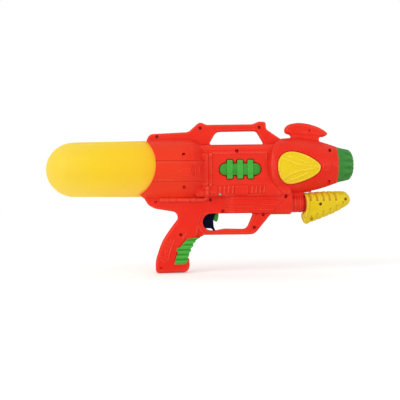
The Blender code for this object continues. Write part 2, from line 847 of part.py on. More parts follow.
def half_space(side):
    """Large block on one side of the parting plane; side is -1 for right and 1 for left."""
    near = side * GAP / 2
    far = side * 0.2
    return box("half", (-0.5, min(near, far), -0.1), (0.5, max(near, far), 0.5))


def build_housing():
    """Right and left halves of the hollow housing."""
    outer = outer_form()
    scoop_z = TANK_Z + MOUTH_SCOOP_RISE
    scoop = rod("scoop", (MOUTH_SCOOP_X, -0.08, scoop_z), (MOUTH_SCOOP_X, 0.08, scoop_z), MOUTH_SCOOP_R, 56)
    outer = cut(
        outer,
        plate("window", HANDLE_WINDOW, 0.08),
        plate("guard", GUARD_WINDOW, 0.08),
        prism("insert", insert_cutout(-GAP), -0.08, 0.08),
        scoop,
    )
    inner = cut(
        inner_form(),
        plate("window_wall", HANDLE_WINDOW, 0.08, inset=-WALL),
        plate("guard_wall", GUARD_WINDOW, 0.08, inset=-WALL),
        prism("insert_wall", insert_cutout(-GAP - WALL), -0.08, 0.08),
        screw_bosses(),
        web_solids(),
    )
    shell = cut(outer, inner)
    pin = rod("pin", (PIN_X, -0.05, PIN_Z), (PIN_X, 0.05, PIN_Z), PIN_R + GAP, HOLE_ROUND)
    inlay = prism("inlay", rounded_loop(TEARDROP), -0.08, 0.08)
    inserts = [capsule_prism("window", 0.0, side * MID_HALF - 0.006, side * MID_HALF + 0.006)
               for side in (-1, 1)]
    sinks, shanks = screw_holes(SCREWS, 0.08)
    shell = cut(shell, web_holes(), flange_pocket(), trigger_slots(), pin, shell_inlay(inlay), shanks, *inserts)
    right = common(duplicate(shell, "right"), half_space(-1))
    left = common(shell, half_space(1))
    return simplify(cut(right, sinks)), simplify(left)


def shell_inlay(side_outline):
    """Opening through the nose wall for the inlay on each side."""
    keep_out = box("keep", (0.0, -NOSE_R / 3, 0.0), (FRONT_X, NOSE_R / 3, 0.4))
    return cut(side_outline, keep_out)


def build_inlay(side):
    """Curved inlay that fills the opening in one side of the nose."""
    solid = build_nose(-INLAY_PROUD)
    solid = cut(solid, build_nose(WALL))
    reach = sorted((side * NOSE_R / 3, side * 2 * NOSE_R))
    return common(solid, prism("edge", rounded_loop(TEARDROP, GAP), *reach))


def build_side_insert(side):
    """Side insert: a lip behind the body wall, a capsule through it and bands lying over the wall."""
    wall_in = MID_HALF - WALL
    outside = MID_HALF + GAP
    lip = sorted((side * (wall_in - GAP - INSERT_LIP), side * (wall_in - GAP)))
    plug = sorted((side * (wall_in - GAP - INSERT_LIP / 2), side * (outside + INSERT_PROUD / 2)))
    band = sorted((side * outside, side * (outside + INSERT_PROUD)))
    solid = unite(capsule_prism("plug", GAP, *plug), capsule_prism("lip", -INSERT_LIP, *lip))
    bands = []
    for k in (-1, 0, 1):
        centre = CAPSULE_X + k * BAND_PITCH
        corners = rectangle(centre - BAND_WIDTH / 2, CAPSULE_Z - BAND_HEIGHT / 2,
                            centre + BAND_WIDTH / 2, CAPSULE_Z + BAND_HEIGHT / 2, 0.002)
        bands.append(prism("band", rounded_loop(corners), *band))
    return simplify(unite(solid, join("bands", bands)))


def build_grip_insert():
    """Finger insert that fills the front of the grip, hollow from the back."""
    half = GRIP_HALF + INSERT_PROUD
    solid = prism("insert", insert_loop(0.0), -half, half, 0.0)
    hollow = ((-0.0026, 0.0510, 0.002), (-0.0220, 0.0490, 0.002), (-0.0300, 0.0390, 0.002),
              (-0.0350, 0.0370, 0.001), (-0.0352, 0.0330, 0.001), (-0.0600, 0.0300, 0.001),
              (-0.0600, 0.0200, 0.001), (-0.0370, 0.0180, 0.002), (-0.0240, 0.0180, 0.002))
    return cut(solid, prism("hollow", rounded_loop(hollow), -half + WALL, half - WALL))


def build_nozzle():
    """Fluted nozzle cap with a hub that turns on the nozzle tube."""
    x0 = MUZZLE_X + GAP
    x1 = FRONT_X
    hub = NOZZLE_TUBE_R + GAP
    rim = MUZZLE_R - 0.0008
    outline = [
        (x0, rim - 0.0026), (x0, rim), (x1 - 0.0105, rim - 0.0032), (x1 - 0.0055, rim - 0.0062),
        (x1 - 0.0015, rim - 0.0125), (x1, rim - 0.0165), (x1 - 0.0015, rim - 0.0185),
        (x1 - 0.0035, 0.0040), (x1 - 0.0035, 0.0013), (x1 - 0.0075, 0.0013), (x1 - 0.0075, hub),
        (x0 + 0.003, hub), (x0 + 0.003, hub + 0.0032), (x1 - 0.0105, hub + 0.0032),
        (x1 - 0.0105, rim - 0.0105), (x1 - 0.0135, rim - 0.0062),
    ]
    solid = turned("nozzle", outline, NOSE_Z, 24, closed=True)
    flutes = []
    for k in range(NOZZLE_FLUTES):
        angle = 2 * math.pi * (k + 0.5) / NOZZLE_FLUTES
        out = Vector((0.0, math.cos(angle), math.sin(angle)))
        start = Vector((x0 + 0.006, 0.0, NOSE_Z)) + out * (rim + 0.0030)
        end = Vector((x1 + 0.002, 0.0, NOSE_Z)) + out * (rim - 0.0080)
        flutes.append(rod("flute", start, end, 0.0036, HOLE_ROUND))
    return simplify(cut(solid, join("flutes", flutes)))


def build_nozzle_tube():
    """Straight tube from the nozzle hose to the nozzle cap, with a collar behind the muzzle wall."""
    rear = NOSE_REAR_X + 0.030
    front = FRONT_X - 0.0100
    stop = MUZZLE_X - WALL - GAP
    spigot = rear + 0.010
    return turned("nozzle_tube", [
        (rear, 0.0009), (rear, SPIGOT_R), (spigot, SPIGOT_R), (spigot, NOZZLE_TUBE_R),
        (stop - 0.002, NOZZLE_TUBE_R), (stop - 0.002, NOZZLE_TUBE_R + 0.003), (stop, NOZZLE_TUBE_R + 0.003),
        (stop, NOZZLE_TUBE_R), (front, NOZZLE_TUBE_R), (front, 0.0009),
    ], NOSE_Z, SMALL_ROUND, closed=True)


def build_nozzle_seal():
    """Ring between the end of the nozzle tube and the nozzle cap."""
    start = FRONT_X - 0.0100 + GAP
    end = FRONT_X - 0.0075 - GAP
    ring = [(start, NOZZLE_TUBE_R - GAP), (end, NOZZLE_TUBE_R - GAP), (end, 0.0025), (start, 0.0025)]
    return turned("nozzle_seal", ring, NOSE_Z, SMALL_ROUND, closed=True)


def build_sleeve():
    """Ringed guide sleeve in front of the pump housing, held by a flange inside it."""
    wall_x = BLOCK_FRONT_X - WALL
    flange = SLEEVE_R + SLEEVE_FLANGE
    hole = BARREL_R + GAP
    bore = SLEEVE_R - SLEEVE_WALL
    start = wall_x - GAP - SLEEVE_FLANGE_THICK
    outline = [(start, hole), (start, flange), (wall_x - GAP, flange), (wall_x - GAP, SLEEVE_R)]
    for k in range(3):
        x = BLOCK_FRONT_X + 0.0035 + 0.0055 * k
        outline += [(x, SLEEVE_R), (x + 0.0012, SLEEVE_R + 0.0004), (x + 0.0024, SLEEVE_R)]
    outline += [(SLEEVE_FRONT_X, SLEEVE_R), (SLEEVE_FRONT_X, bore), (wall_x + 0.002, bore), (wall_x + 0.002, hole)]
    return turned("sleeve", outline, PUMP_Z, 20, closed=True)


def build_barrel():
    """Pump barrel with a ported end wall."""
    wall_x = BARREL_REAR_X + 0.003
    return turned("barrel", [
        (BARREL_REAR_X, 0.0012), (BARREL_REAR_X, BARREL_R), (BARREL_FRONT_X, BARREL_R),
        (BARREL_FRONT_X, BORE_R), (wall_x, BORE_R), (wall_x, 0.0012),
    ], PUMP_Z, 14, closed=True)


def build_rod_guide():
    """Plug in the front of the sleeve that guides the pump rod and closes the barrel."""
    rear = BARREL_FRONT_X + GAP
    outside = SLEEVE_R - SLEEVE_WALL - GAP
    hole = ROD_R + GAP
    ring = [(rear, hole), (rear, outside), (SLEEVE_FRONT_X + 0.001, outside), (SLEEVE_FRONT_X + 0.001, hole)]
    return turned("rod_guide", ring, PUMP_Z, 24, closed=True)


def piston_start():
    """X of the back of the piston with the handle pushed in."""
    return BARREL_REAR_X + 0.006


def build_piston():
    """Piston with a groove for its seal."""
    rear = piston_start()
    front = rear + PISTON_LENGTH
    out = BORE_R - GAP
    groove = out - 0.0016
    low = rear + PISTON_LENGTH * 0.35
    high = rear + PISTON_LENGTH * 0.65
    return turned("piston", [
        (rear, 0.0), (rear, out), (low, out), (low, groove), (high, groove), (high, out), (front, out),
        (front, 0.0),
    ], PUMP_Z, 14)


def build_piston_seal():
    """Ring in the piston's groove."""
    low = piston_start() + PISTON_LENGTH * 0.35 + GAP / 2
    high = piston_start() + PISTON_LENGTH * 0.65 - GAP / 2
    out = BORE_R - GAP / 3
    inside = BORE_R - 0.0016
    return turned("piston_seal", [(low, out), (high, out), (high, inside), (low, inside)], PUMP_Z, 14, closed=True)


def build_pump_rod():
    """Pump rod with a flat eye that a handle screw passes through."""
    start = piston_start() + PISTON_LENGTH + GAP
    eye = ROD_EYE_X - 0.006
    bar = rod("pump_rod", (start, 0, PUMP_Z), (eye + 0.001, 0, PUMP_Z), ROD_R)
    block = box("eye", (eye, -0.0045, PUMP_Z - 0.005), (eye + 0.012, 0.0045, PUMP_Z + 0.005))
    hole = rod("hole", (ROD_EYE_X, -0.01, PUMP_Z), (ROD_EYE_X, 0.01, PUMP_Z), HOLE_R, HOLE_ROUND)
    return cut(unite(bar, block), hole)


def handle_ribs():
    """Finger ribs across the top and the sloping underside of the pump handle."""
    reach = HANDLE_HALF - HANDLE_EDGE - 0.001
    ribs = []
    for k in range(5):
        x = HANDLE_REAR_X + 0.018 + 0.0125 * k
        z = PUMP_Z + 0.0172 - 0.0004
        ribs.append(rod("rib", (x, -reach, z), (x, reach, z), 0.0016, 6))
    low = Vector(PUMP_HANDLE[3][:2])
    run = Vector(PUMP_HANDLE[2][:2]) - low
    for k in range(6):
        spot = low + run * (0.18 + 0.125 * k) + Vector((-0.0002, 0.0004))
        ribs.append(rod("rib", (spot.x, -reach, spot.y), (spot.x, reach, spot.y), 0.0016, 6))
    return join("ribs", ribs)


def build_handle():
    """Right and left halves of the pump handle that slides over the sleeve."""
    outer = unite(plate("handle", PUMP_HANDLE, HANDLE_HALF, HANDLE_EDGE, edge_steps=1), handle_ribs())
    inner = plate("handle_in", PUMP_HANDLE, HANDLE_HALF - WALL, inset=WALL)
    clamp = 0.0045 + GAP
    posts = []
    for x, z in PUMP_SCREWS:
        inside = clamp if (x, z) == PUMP_SCREWS[0] else -0.001
        for side in (-1, 1):
            posts.append(rod("post", (x, side * inside, z), (x, side * 0.03, z), BOSS_R, HOLE_ROUND))
    rear = HANDLE_REAR_X - 0.004
    bore_end = SLEEVE_FRONT_X + 0.004
    ring = rod("ring", (rear, 0, PUMP_Z), (bore_end, 0, PUMP_Z), SLEEVE_R + SLEEVE_RUN + 0.7 * WALL, 28)
    inner = cut(inner, ring)
    for post in posts:
        inner = cut(inner, post)
    bore = rod("bore", (rear, 0, PUMP_Z), (bore_end + 0.003, 0, PUMP_Z), SLEEVE_R + SLEEVE_RUN, 28)
    sinks, shanks = screw_holes(PUMP_SCREWS, 0.05)
    shell = cut(outer, inner, bore, shanks)
    right = common(duplicate(shell, "right"), half_space(-1))
    left = common(shell, half_space(1))
    return simplify(cut(right, sinks)), simplify(left)


def build_check_valve():
    """One-way valve behind the barrel, with a spigot for the air hose."""
    front = BARREL_REAR_X - GAP
    rear = front - 0.012
    body = turned("check", [
        (rear, 0.0), (rear, BARREL_R - 0.0005), (front, BARREL_R - 0.0005), (front, 0.0012),
        (rear + 0.003, 0.0012), (rear + 0.003, 0.0),
    ], PUMP_Z, 14)
    x = rear + 0.005
    stub = rod("stub", (x, BARREL_R - 0.003, PUMP_Z), (x, BARREL_R + 0.0025, PUMP_Z), SPIGOT_R, HOLE_ROUND)
    bore = rod("bore", (x, 0.0, PUMP_Z), (x, BARREL_R + 0.004, PUMP_Z), SPIGOT_R / 2, HOLE_ROUND)
    return cut(unite(body, stub), bore)


def build_valve_body():
    """Valve body with an inlet spigot on top and an outlet spigot in front."""
    rear = VALVE_REAR_X
    front = VALVE_FRONT_X
    body = turned("valve", [
        (rear, STEM_R + GAP), (rear, VALVE_R), (front, VALVE_R), (front, SPIGOT_R), (front + 0.010, SPIGOT_R),
        (front + 0.010, SPIGOT_R / 2), (front - 0.003, SPIGOT_R / 2), (front - 0.003, VALVE_BORE_R),
        (rear + 0.003, VALVE_BORE_R), (rear + 0.003, STEM_R + GAP),
    ], VALVE_Z, 14, closed=True)
    x = (rear + front) / 2 - 0.002
    stub = rod("stub", (x, 0, VALVE_Z + VALVE_R - 0.001), (x, 0, VALVE_Z + VALVE_R + 0.008), SPIGOT_R, HOLE_ROUND)
    bore = rod("bore", (x, 0, VALVE_Z), (x, 0, VALVE_Z + VALVE_R + 0.009), SPIGOT_R / 2, HOLE_ROUND)
    return cut(unite(body, stub), bore)


def stem_head():
    """X of the back and front of the valve stem's head at rest."""
    start = VALVE_REAR_X + 0.003 + GAP
    return start, start + 0.006


def build_valve_stem():
    """Valve stem with a grooved head, pushed by the lever."""
    rear = PIN_X + 0.0030 + GAP
    start, end = stem_head()
    out = VALVE_BORE_R - GAP
    groove = out - 0.0014
    return turned("stem", [
        (rear, 0.0), (rear, STEM_R), (start, STEM_R), (start, out), (start + 0.002, out),
        (start + 0.002, groove), (end - 0.002, groove), (end - 0.002, out), (end, out), (end, 0.0),
    ], VALVE_Z, 14)


def build_valve_seal():
    """Ring in the groove of the valve stem's head."""
    start, end = stem_head()
    low = start + 0.002 + GAP / 2
    high = end - 0.002 - GAP / 2
    out = VALVE_BORE_R - GAP / 3
    inside = VALVE_BORE_R - 0.0014
    return turned("valve_seal", [(low, out), (high, out), (high, inside), (low, inside)], VALVE_Z, 14, closed=True)


def build_valve_spring():
    """Compression spring between the stem's head and the front of the valve."""
    gauge = 0.0004
    start = stem_head()[1] + gauge + GAP
    end = VALVE_FRONT_X - 0.003 - gauge - GAP
    radius = VALVE_BORE_R - GAP - gauge - 0.0006
    turns = 6
    sides = 8
    line = []
    for k in range(turns * sides + 1):
        angle = 2 * math.pi * k / sides
        x = start + (end - start) * k / (turns * sides)
        line.append((x, radius * math.cos(angle), VALVE_Z + radius * math.sin(angle)))
    return wire("valve_spring", line, gauge, 0)


def build_trigger():
    """Trigger blade on a neck that hangs from the pin."""
    blade = prism("blade", rounded_loop(TRIGGER_BLADE), -TRIGGER_HALF, TRIGGER_HALF, 0.0012)
    neck = prism("neck", rounded_loop(TRIGGER_NECK), -TRIGGER_HALF + 0.0012, -GAP)
    hole = rod("hole", (PIN_X, -0.02, PIN_Z), (PIN_X, 0.02, PIN_Z), PIN_R + GAP / 3, 16)
    return cut(unite(blade, neck), hole)


def build_lever():
    """Lever on the trigger pin that pushes the valve stem; its tip shows in front of the trigger."""
    solid = prism("lever", rounded_loop(LEVER), GAP, TRIGGER_HALF - 0.0012)
    hole = rod("hole", (PIN_X, -0.02, PIN_Z), (PIN_X, 0.02, PIN_Z), PIN_R + GAP / 3, 16)
    return cut(solid, hole)


def build_trigger_spring():
    """Torsion spring on the trigger pin, with a leg towards each side."""
    gauge = 0.0005
    radius = PIN_R + GAP + 2 * gauge
    start = TRIGGER_HALF - 0.0012 + GAP + gauge
    turns = 4
    sides = 8
    pitch = 2.4 * gauge
    line = [(PIN_X + radius, start, PIN_Z - 0.012)]
    for k in range(turns * sides + 1):
        angle = 2 * math.pi * k / sides
        y = start + pitch * k / sides
        line.append((PIN_X + radius * math.cos(angle), y, PIN_Z + radius * math.sin(angle)))
    line.append((PIN_X + radius, start + pitch * turns, PIN_Z + 0.012))
    return wire("trigger_spring", line, gauge, 0)


def build_screw(name, x, z):
    """Pan-head screw from the right side into the left half."""
    profile = [
        (-SCREW_SEAT - SCREW_HEAD, 0.0), (-SCREW_SEAT - SCREW_HEAD, SCREW_HEAD_R), (-SCREW_SEAT, SCREW_HEAD_R),
        (-SCREW_SEAT, SCREW_R), (SCREW_REACH - SCREW_R, SCREW_R), (SCREW_REACH, 0.0),
    ]
    solid = turned(name, profile, 0.0, 8)
    solid.data.transform(Matrix.Translation((x, 0.0, z)) @ Matrix.Rotation(math.pi / 2, 4, "Z"))
    return solid


def main():
    """Build every piece and file it under the object's collection."""
    clear_scene()
    group = bpy.data.collections.new("water_squirter")
    bpy.context.scene.collection.children.link(group)
    red = make_material("red_plastic", (0.82, 0.035, 0.017), 0.38)
    amber = make_material("tank_plastic", (0.95, 0.64, 0.04), 0.30)
    yellow = make_material("yellow_plastic", (0.80, 0.56, 0.012), 0.40)
    green = make_material("green_plastic", (0.065, 0.40, 0.055), 0.42)
    deep_green = make_material("nozzle_plastic", (0.04, 0.25, 0.045), 0.42)
    navy = make_material("navy_plastic", (0.003, 0.004, 0.02), 0.45)
    white = make_material("white_plastic", (0.75, 0.75, 0.72), 0.45)
    clear = make_material("hose_plastic", (0.70, 0.72, 0.72), 0.35)
    black = make_material("black_rubber", (0.02, 0.02, 0.02), 0.70)
    steel = make_material("steel", (0.55, 0.55, 0.56), 0.32, 1.0)

    right, left = build_housing()
    publish(right, "housing_right", red, group)
    publish(left, "housing_left", red, group)
    for index, (x, z) in enumerate(SCREWS, start=1):
        name = f"housing_screw_{index:02d}"
        publish(build_screw(name, x, z), name, steel, group, (x, 0.0, z))

    tank_axis = (NECK_END_X, 0.0, TANK_Z)
    publish(build_tank(), "tank", amber, group, tank_axis)
    publish(build_tank_seal(), "tank_seal", black, group, tank_axis)
    publish(build_collar(), "tank_collar", white, group)

    top, bottom = spigot_points()
    start = COLLAR_WALL_X + WALL + GAP
    valve_mid = (VALVE_REAR_X + VALVE_FRONT_X) / 2 - 0.002
    inlet = VALVE_Z + VALVE_R + GAP
    publish(hose("water_hose", [
        (start, 0, bottom), (start + 0.014, 0, bottom), (valve_mid - 0.014, 0, inlet + 0.017),
        (valve_mid, 0, inlet + 0.012), (valve_mid, 0, inlet),
    ]), "water_hose", clear, group)
    check_x = BARREL_REAR_X - GAP - 0.007
    side = BARREL_R + GAP
    publish(hose("air_hose", [
        (check_x, side, PUMP_Z), (check_x, side + 0.0045, PUMP_Z), (check_x, side + 0.0065, PUMP_Z + 0.014),
        (check_x + 0.001, side + 0.0070, VALVE_Z + 0.006), (check_x - 0.004, side + 0.0060, VALVE_Z + 0.023),
        (start + 0.045, 0.010, top - 0.004), (start + 0.022, 0.003, top), (start + 0.0135, 0, top), (start, 0, top),
    ]), "air_hose", clear, group)
    tube_x = NOSE_REAR_X + 0.040 - GAP
    front = VALVE_FRONT_X + GAP
    publish(hose("nozzle_hose", [
        (front, 0, VALVE_Z), (front + 0.011, 0, VALVE_Z), (tube_x - 0.022, 0, (VALVE_Z + NOSE_Z) / 2),
        (tube_x - 0.011, 0, NOSE_Z), (tube_x, 0, NOSE_Z),
    ]), "nozzle_hose", clear, group)

    publish(build_barrel(), "pump_barrel", white, group)
    publish(build_sleeve(), "pump_sleeve", red, group)
    publish(build_rod_guide(), "rod_guide", white, group)
    publish(build_check_valve(), "check_valve", white, group)
    pump_axis = (ROD_EYE_X, 0.0, PUMP_Z)
    publish(build_piston(), "pump_piston", white, group, pump_axis)
    publish(build_piston_seal(), "piston_seal", black, group, pump_axis)
    publish(build_pump_rod(), "pump_rod", white, group, pump_axis)
    right, left = build_handle()
    publish(right, "pump_handle_right", yellow, group, pump_axis)
    publish(left, "pump_handle_left", yellow, group, pump_axis)
    for index, (x, z) in enumerate(PUMP_SCREWS, start=1):
        name = f"pump_screw_{index}"
        publish(build_screw(name, x, z), name, steel, group, (x, 0.0, z))

    pin_axis = (PIN_X, 0.0, PIN_Z)
    publish(build_valve_body(), "valve_body", white, group)
    publish(build_valve_stem(), "valve_stem", white, group, (VALVE_REAR_X, 0.0, VALVE_Z))
    publish(build_valve_seal(), "valve_seal", black, group, (VALVE_REAR_X, 0.0, VALVE_Z))
    publish(build_valve_spring(), "valve_spring", steel, group)
    publish(build_trigger(), "trigger", navy, group, pin_axis)
    publish(build_lever(), "valve_lever", green, group, pin_axis)
    reach = MID_HALF + PIN_OUT
    publish(rod("pin", (PIN_X, -reach, PIN_Z), (PIN_X, reach, PIN_Z), PIN_R, 16), "trigger_pin", steel, group)
    publish(build_trigger_spring(), "trigger_spring", steel, group)

    publish(build_nozzle(), "nozzle_cap", deep_green, group, (MUZZLE_X, 0.0, NOSE_Z))
    publish(build_nozzle_tube(), "nozzle_tube", white, group)
    publish(build_nozzle_seal(), "nozzle_seal", black, group)
    for side, word in ((-1, "right"), (1, "left")):
        publish(build_side_insert(side), f"side_insert_{word}", green, group)
        publish(build_inlay(side), f"nose_inlay_{word}", yellow, group)
    publish(build_grip_insert(), "grip_insert", green, group)


main()
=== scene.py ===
"""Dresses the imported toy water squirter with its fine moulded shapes, finishes, studio and camera."""

import logging
import math
from collections.abc import Callable, Sequence
from dataclasses import dataclass, field
from enum import Enum

import bmesh
import bpy
import numpy as np
from mathutils import Matrix, Vector
from mathutils.geometry import delaunay_2d_cdt


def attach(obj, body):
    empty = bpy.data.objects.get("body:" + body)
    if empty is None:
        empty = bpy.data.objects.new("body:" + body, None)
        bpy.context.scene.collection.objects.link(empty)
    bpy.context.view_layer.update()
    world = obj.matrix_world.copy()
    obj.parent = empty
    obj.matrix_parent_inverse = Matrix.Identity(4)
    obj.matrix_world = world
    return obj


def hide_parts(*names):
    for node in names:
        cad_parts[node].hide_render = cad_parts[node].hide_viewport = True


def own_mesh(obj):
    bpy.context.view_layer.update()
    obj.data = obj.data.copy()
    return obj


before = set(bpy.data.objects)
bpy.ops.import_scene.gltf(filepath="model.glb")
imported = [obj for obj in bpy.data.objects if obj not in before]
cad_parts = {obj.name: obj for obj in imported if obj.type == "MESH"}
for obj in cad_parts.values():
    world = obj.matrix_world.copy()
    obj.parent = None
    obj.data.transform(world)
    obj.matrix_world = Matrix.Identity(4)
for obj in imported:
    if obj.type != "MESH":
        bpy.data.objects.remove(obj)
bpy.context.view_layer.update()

log = logging.getLogger("squirter")

# Shapes are in millimetres, in the frame's X and Z, with Y = 0 on the parting plane; shaders and studio in metres.
MM = 0.001
PARTING = 0.15  # gap between each half and the parting plane
SKIRT = 0.22  # width of the steep strip in the mesh at the foot of a form
FAR = -1000.0  # height of a form where it isn't
RIM_DROP, RIM_WIDTH = 0.3, 0.4  # eased rim of a screw hole
HOLE_WALL = -0.06  # where the floor of a screw hole starts, from its radius
HOLE_RINGS = (0.7, 0.4, 0.0, -0.12)  # mesh lines round a screw hole, from its radius

TOUCH = -0.02  # depth from which a point counts as inside an outline
SKIN = 0.8  # least wall between a skin and the hollow below it
LEAST = PARTING + 0.05  # least height of a skin
MERGE = 2e-4  # distance below which points of a mesh become one
WELD = 2e-6  # the same on turned meshes, in metres
TINY = 1e-9  # keeps a division from 0
LEVEL = 1e-12  # least rise or squared length of a segment
CHUNK = 4096  # points handled at a time
LEAST_FILLET = 0.05
LEAST_LEAN = 0.2  # limits how far the tip of a sharp corner moves with an inset
SHORT_EDGE = 0.0003  # length up to which the edges of a mesh weigh alike, in metres
END_SLACK, RIM_SLACK = 0.01, -2.0  # how far outside its ends, and its rim squared, a round form still has a height
EDGE_ANGLES = (0.0, 15.0, 30.0, 45.0, 60.0, 75.0, 90.0)  # mesh lines on a rounded rim, in degrees
EDGE_STRIP = 0.6  # flat strip in the mesh behind a rounded rim
RAMP_STRIP = 0.3  # flat strip in the mesh on both sides of a ramp
# Mesh lines on a bead or dimple, as shares of its half width.
ROUND_SHARES = (1.15, 1.0, 0.93, 0.75, 0.45)
SOFT_SHARES = (1.2, 1.0, 0.66, 0.33)
DIMPLE_SHARES = (1.15, 1.0, 0.66, 0.33)

PLASTIC_IOR = 1.42
TANK_Z = 169.5
NOSE_Z = 172.7
PUMP_Z = 111.0
TRIGGER_PIN = (32.7, 126.6)
INSERT_BACK = (
    (2.4, 58.7, 0.4), (-3.7, 57.6, 8), (-12, 56.3, 8), (-20.7, 55.7, 3), (-32.6, 42.2, 2), (-35.6, 41.2, 1.5),
    (-39.4, 37, 0.8), (-35.6, 35.2, 1), (-42.2, 14.6, 1), (-24.8, 14.9, 3))

Colour = tuple[float, float, float]
Corner = tuple[float, float, float]
Spot = tuple[float, float]
Limits = tuple[float, float]
Line = tuple[np.ndarray, bool]


class Side(Enum):
    """The two moulded halves; the value is the sign of Y on that half."""

    RIGHT = -1
    LEFT = 1


Field = Callable[[np.ndarray], np.ndarray]
HalfField = Callable[[np.ndarray, Side], np.ndarray]


class Signal:
    """One output socket of a node tree, with arithmetic that adds Math nodes."""

    def __init__(self, tree: "Tree", socket: bpy.types.NodeSocket) -> None:
        """Keep the tree and the socket that the signal comes from."""
        self.tree = tree
        self.socket = socket

    def __add__(self, other: object) -> "Signal":
        """Sum of the signal and a number or signal."""
        return self.tree.math("ADD", self, other)

    def __radd__(self, other: object) -> "Signal":
        """Sum with the number first."""
        return self.tree.math("ADD", other, self)

    def __sub__(self, other: object) -> "Signal":
        """Difference of the signal and a number or signal."""
        return self.tree.math("SUBTRACT", self, other)

    def __mul__(self, other: object) -> "Signal":
        """Product of the signal and a number or signal."""
        return self.tree.math("MULTIPLY", self, other)

    def __rmul__(self, other: object) -> "Signal":
        """Product with the number first."""
        return self.tree.math("MULTIPLY", other, self)

    def __truediv__(self, other: object) -> "Signal":
        """Quotient of the signal and a number or signal."""
        return self.tree.math("DIVIDE", self, other)

    def clipped(self, low: float, high: float) -> "Signal":
        """Signal stretched so that low to high becomes 0 to 1, held at the ends."""
        return self.tree.node("ShaderNodeMapRange", {
            "Value": self, "From Min": low, "From Max": high, "To Min": 0.0, "To Max": 1.0}, clamp=True)[0]


class Tree:
    """Node tree while it is being written."""

    def __init__(self, tree: bpy.types.NodeTree) -> None:
        """Keep the nodes and links of the tree."""
        self.nodes = tree.nodes
        self.links = tree.links

    def feed(self, socket: bpy.types.NodeSocket, value: object) -> None:
        """Link a signal or a list of them to a socket, or set a plain value on it.

        Args:
            socket: Input socket.
            value: Signal, list of signals or plain value.
        """
        for item in value if isinstance(value, list) else [value]:
            if isinstance(item, Signal):
                self.links.new(item.socket, socket)
            else:
                socket.default_value = item

    def node(self, kind: str, sockets: dict[object, object] | None = None, **settings: object) -> list[Signal]:
        """Add a node.

        Args:
            kind: Node type.
            sockets: Values or signals by socket name or number.
            **settings: Attributes set before the sockets.

        Returns:
            The node's outputs as signals.
        """
        made = self.nodes.new(kind)
        for key, value in settings.items():
            setattr(made, key, value)
        for key, value in (sockets or {}).items():
            self.feed(made.inputs[key], value)
        return [Signal(self, output) for output in made.outputs if output.enabled]

    def math(self, operation: str, first: object, second: object) -> Signal:
        """Signal of a two-input Math node."""
        return self.node("ShaderNodeMath", {0: first, 1: second}, operation=operation)[0]


class ShaderTree(Tree):
    """Node tree of one material."""

    def __init__(self, name: str) -> None:
        """Start a material with a Principled shader.

        Args:
            name: Name of the material.
        """
        self.material = bpy.data.materials.new(name)
        self.material.use_nodes = True
        super().__init__(self.material.node_tree)
        self.shader = self.nodes["Principled BSDF"]

    def surface(self, **values: object) -> None:
        """Feed sockets of the Principled shader; an underscore stands for a space."""
        for key, value in values.items():
            self.feed(self.shader.inputs[key.replace("_", " ")], value)

    def place(self, stretch: Sequence[float] = (1.0, 1.0, 1.0)) -> Signal:
        """Object coordinates, stretched along each axis."""
        return self.node("ShaderNodeMapping", {"Vector": self.node("ShaderNodeTexCoord")[3], "Scale": stretch})[0]

    def axes(self) -> list[Signal]:
        """Object coordinates, one by one."""
        return self.node("ShaderNodeSeparateXYZ", {0: self.place()})

    def noise(self, scale: float, detail: float, stretch: Sequence[float] = (1.0, 1.0, 1.0)) -> Signal:
        """Noise from 0 to 1 over the object, in features per metre."""
        return self.node("ShaderNodeTexNoise", {
            "Vector": self.place(stretch), "Scale": scale, "Detail": detail, "Roughness": 0.55})[0]

    def mix(self, share: object, first: object, second: object) -> Signal:
        """Colour between two colours."""
        return self.node("ShaderNodeMix", {0: share, 6: first, 7: second}, data_type="RGBA")[0]

    def slant(self) -> Signal:
        """Share that rises to 1 where the surface turns away, used for the gloss alone."""
        return self.node("ShaderNodeLayerWeight", {"Blend": 0.5})[1].clipped(0.45, 0.95)

    def relief(self) -> Signal:
        """Crest and hollow measure that the mesh carries, with 0.5 on flat faces."""
        return self.node("ShaderNodeAttribute", attribute_name="relief")[2]

    def bump(self, height: Signal, strength: float, distance: float) -> Signal:
        """Normal bumped by a height signal."""
        return self.node("ShaderNodeBump", {"Height": height, "Strength": strength, "Distance": distance})[0]


def rgba(colour: Colour) -> tuple[float, float, float, float]:
    """Opaque colour for a socket."""
    return (*colour, 1.0)


def grey(level: float) -> tuple[float, float, float, float]:
    """Opaque grey for a socket."""
    return rgba((level, level, level))


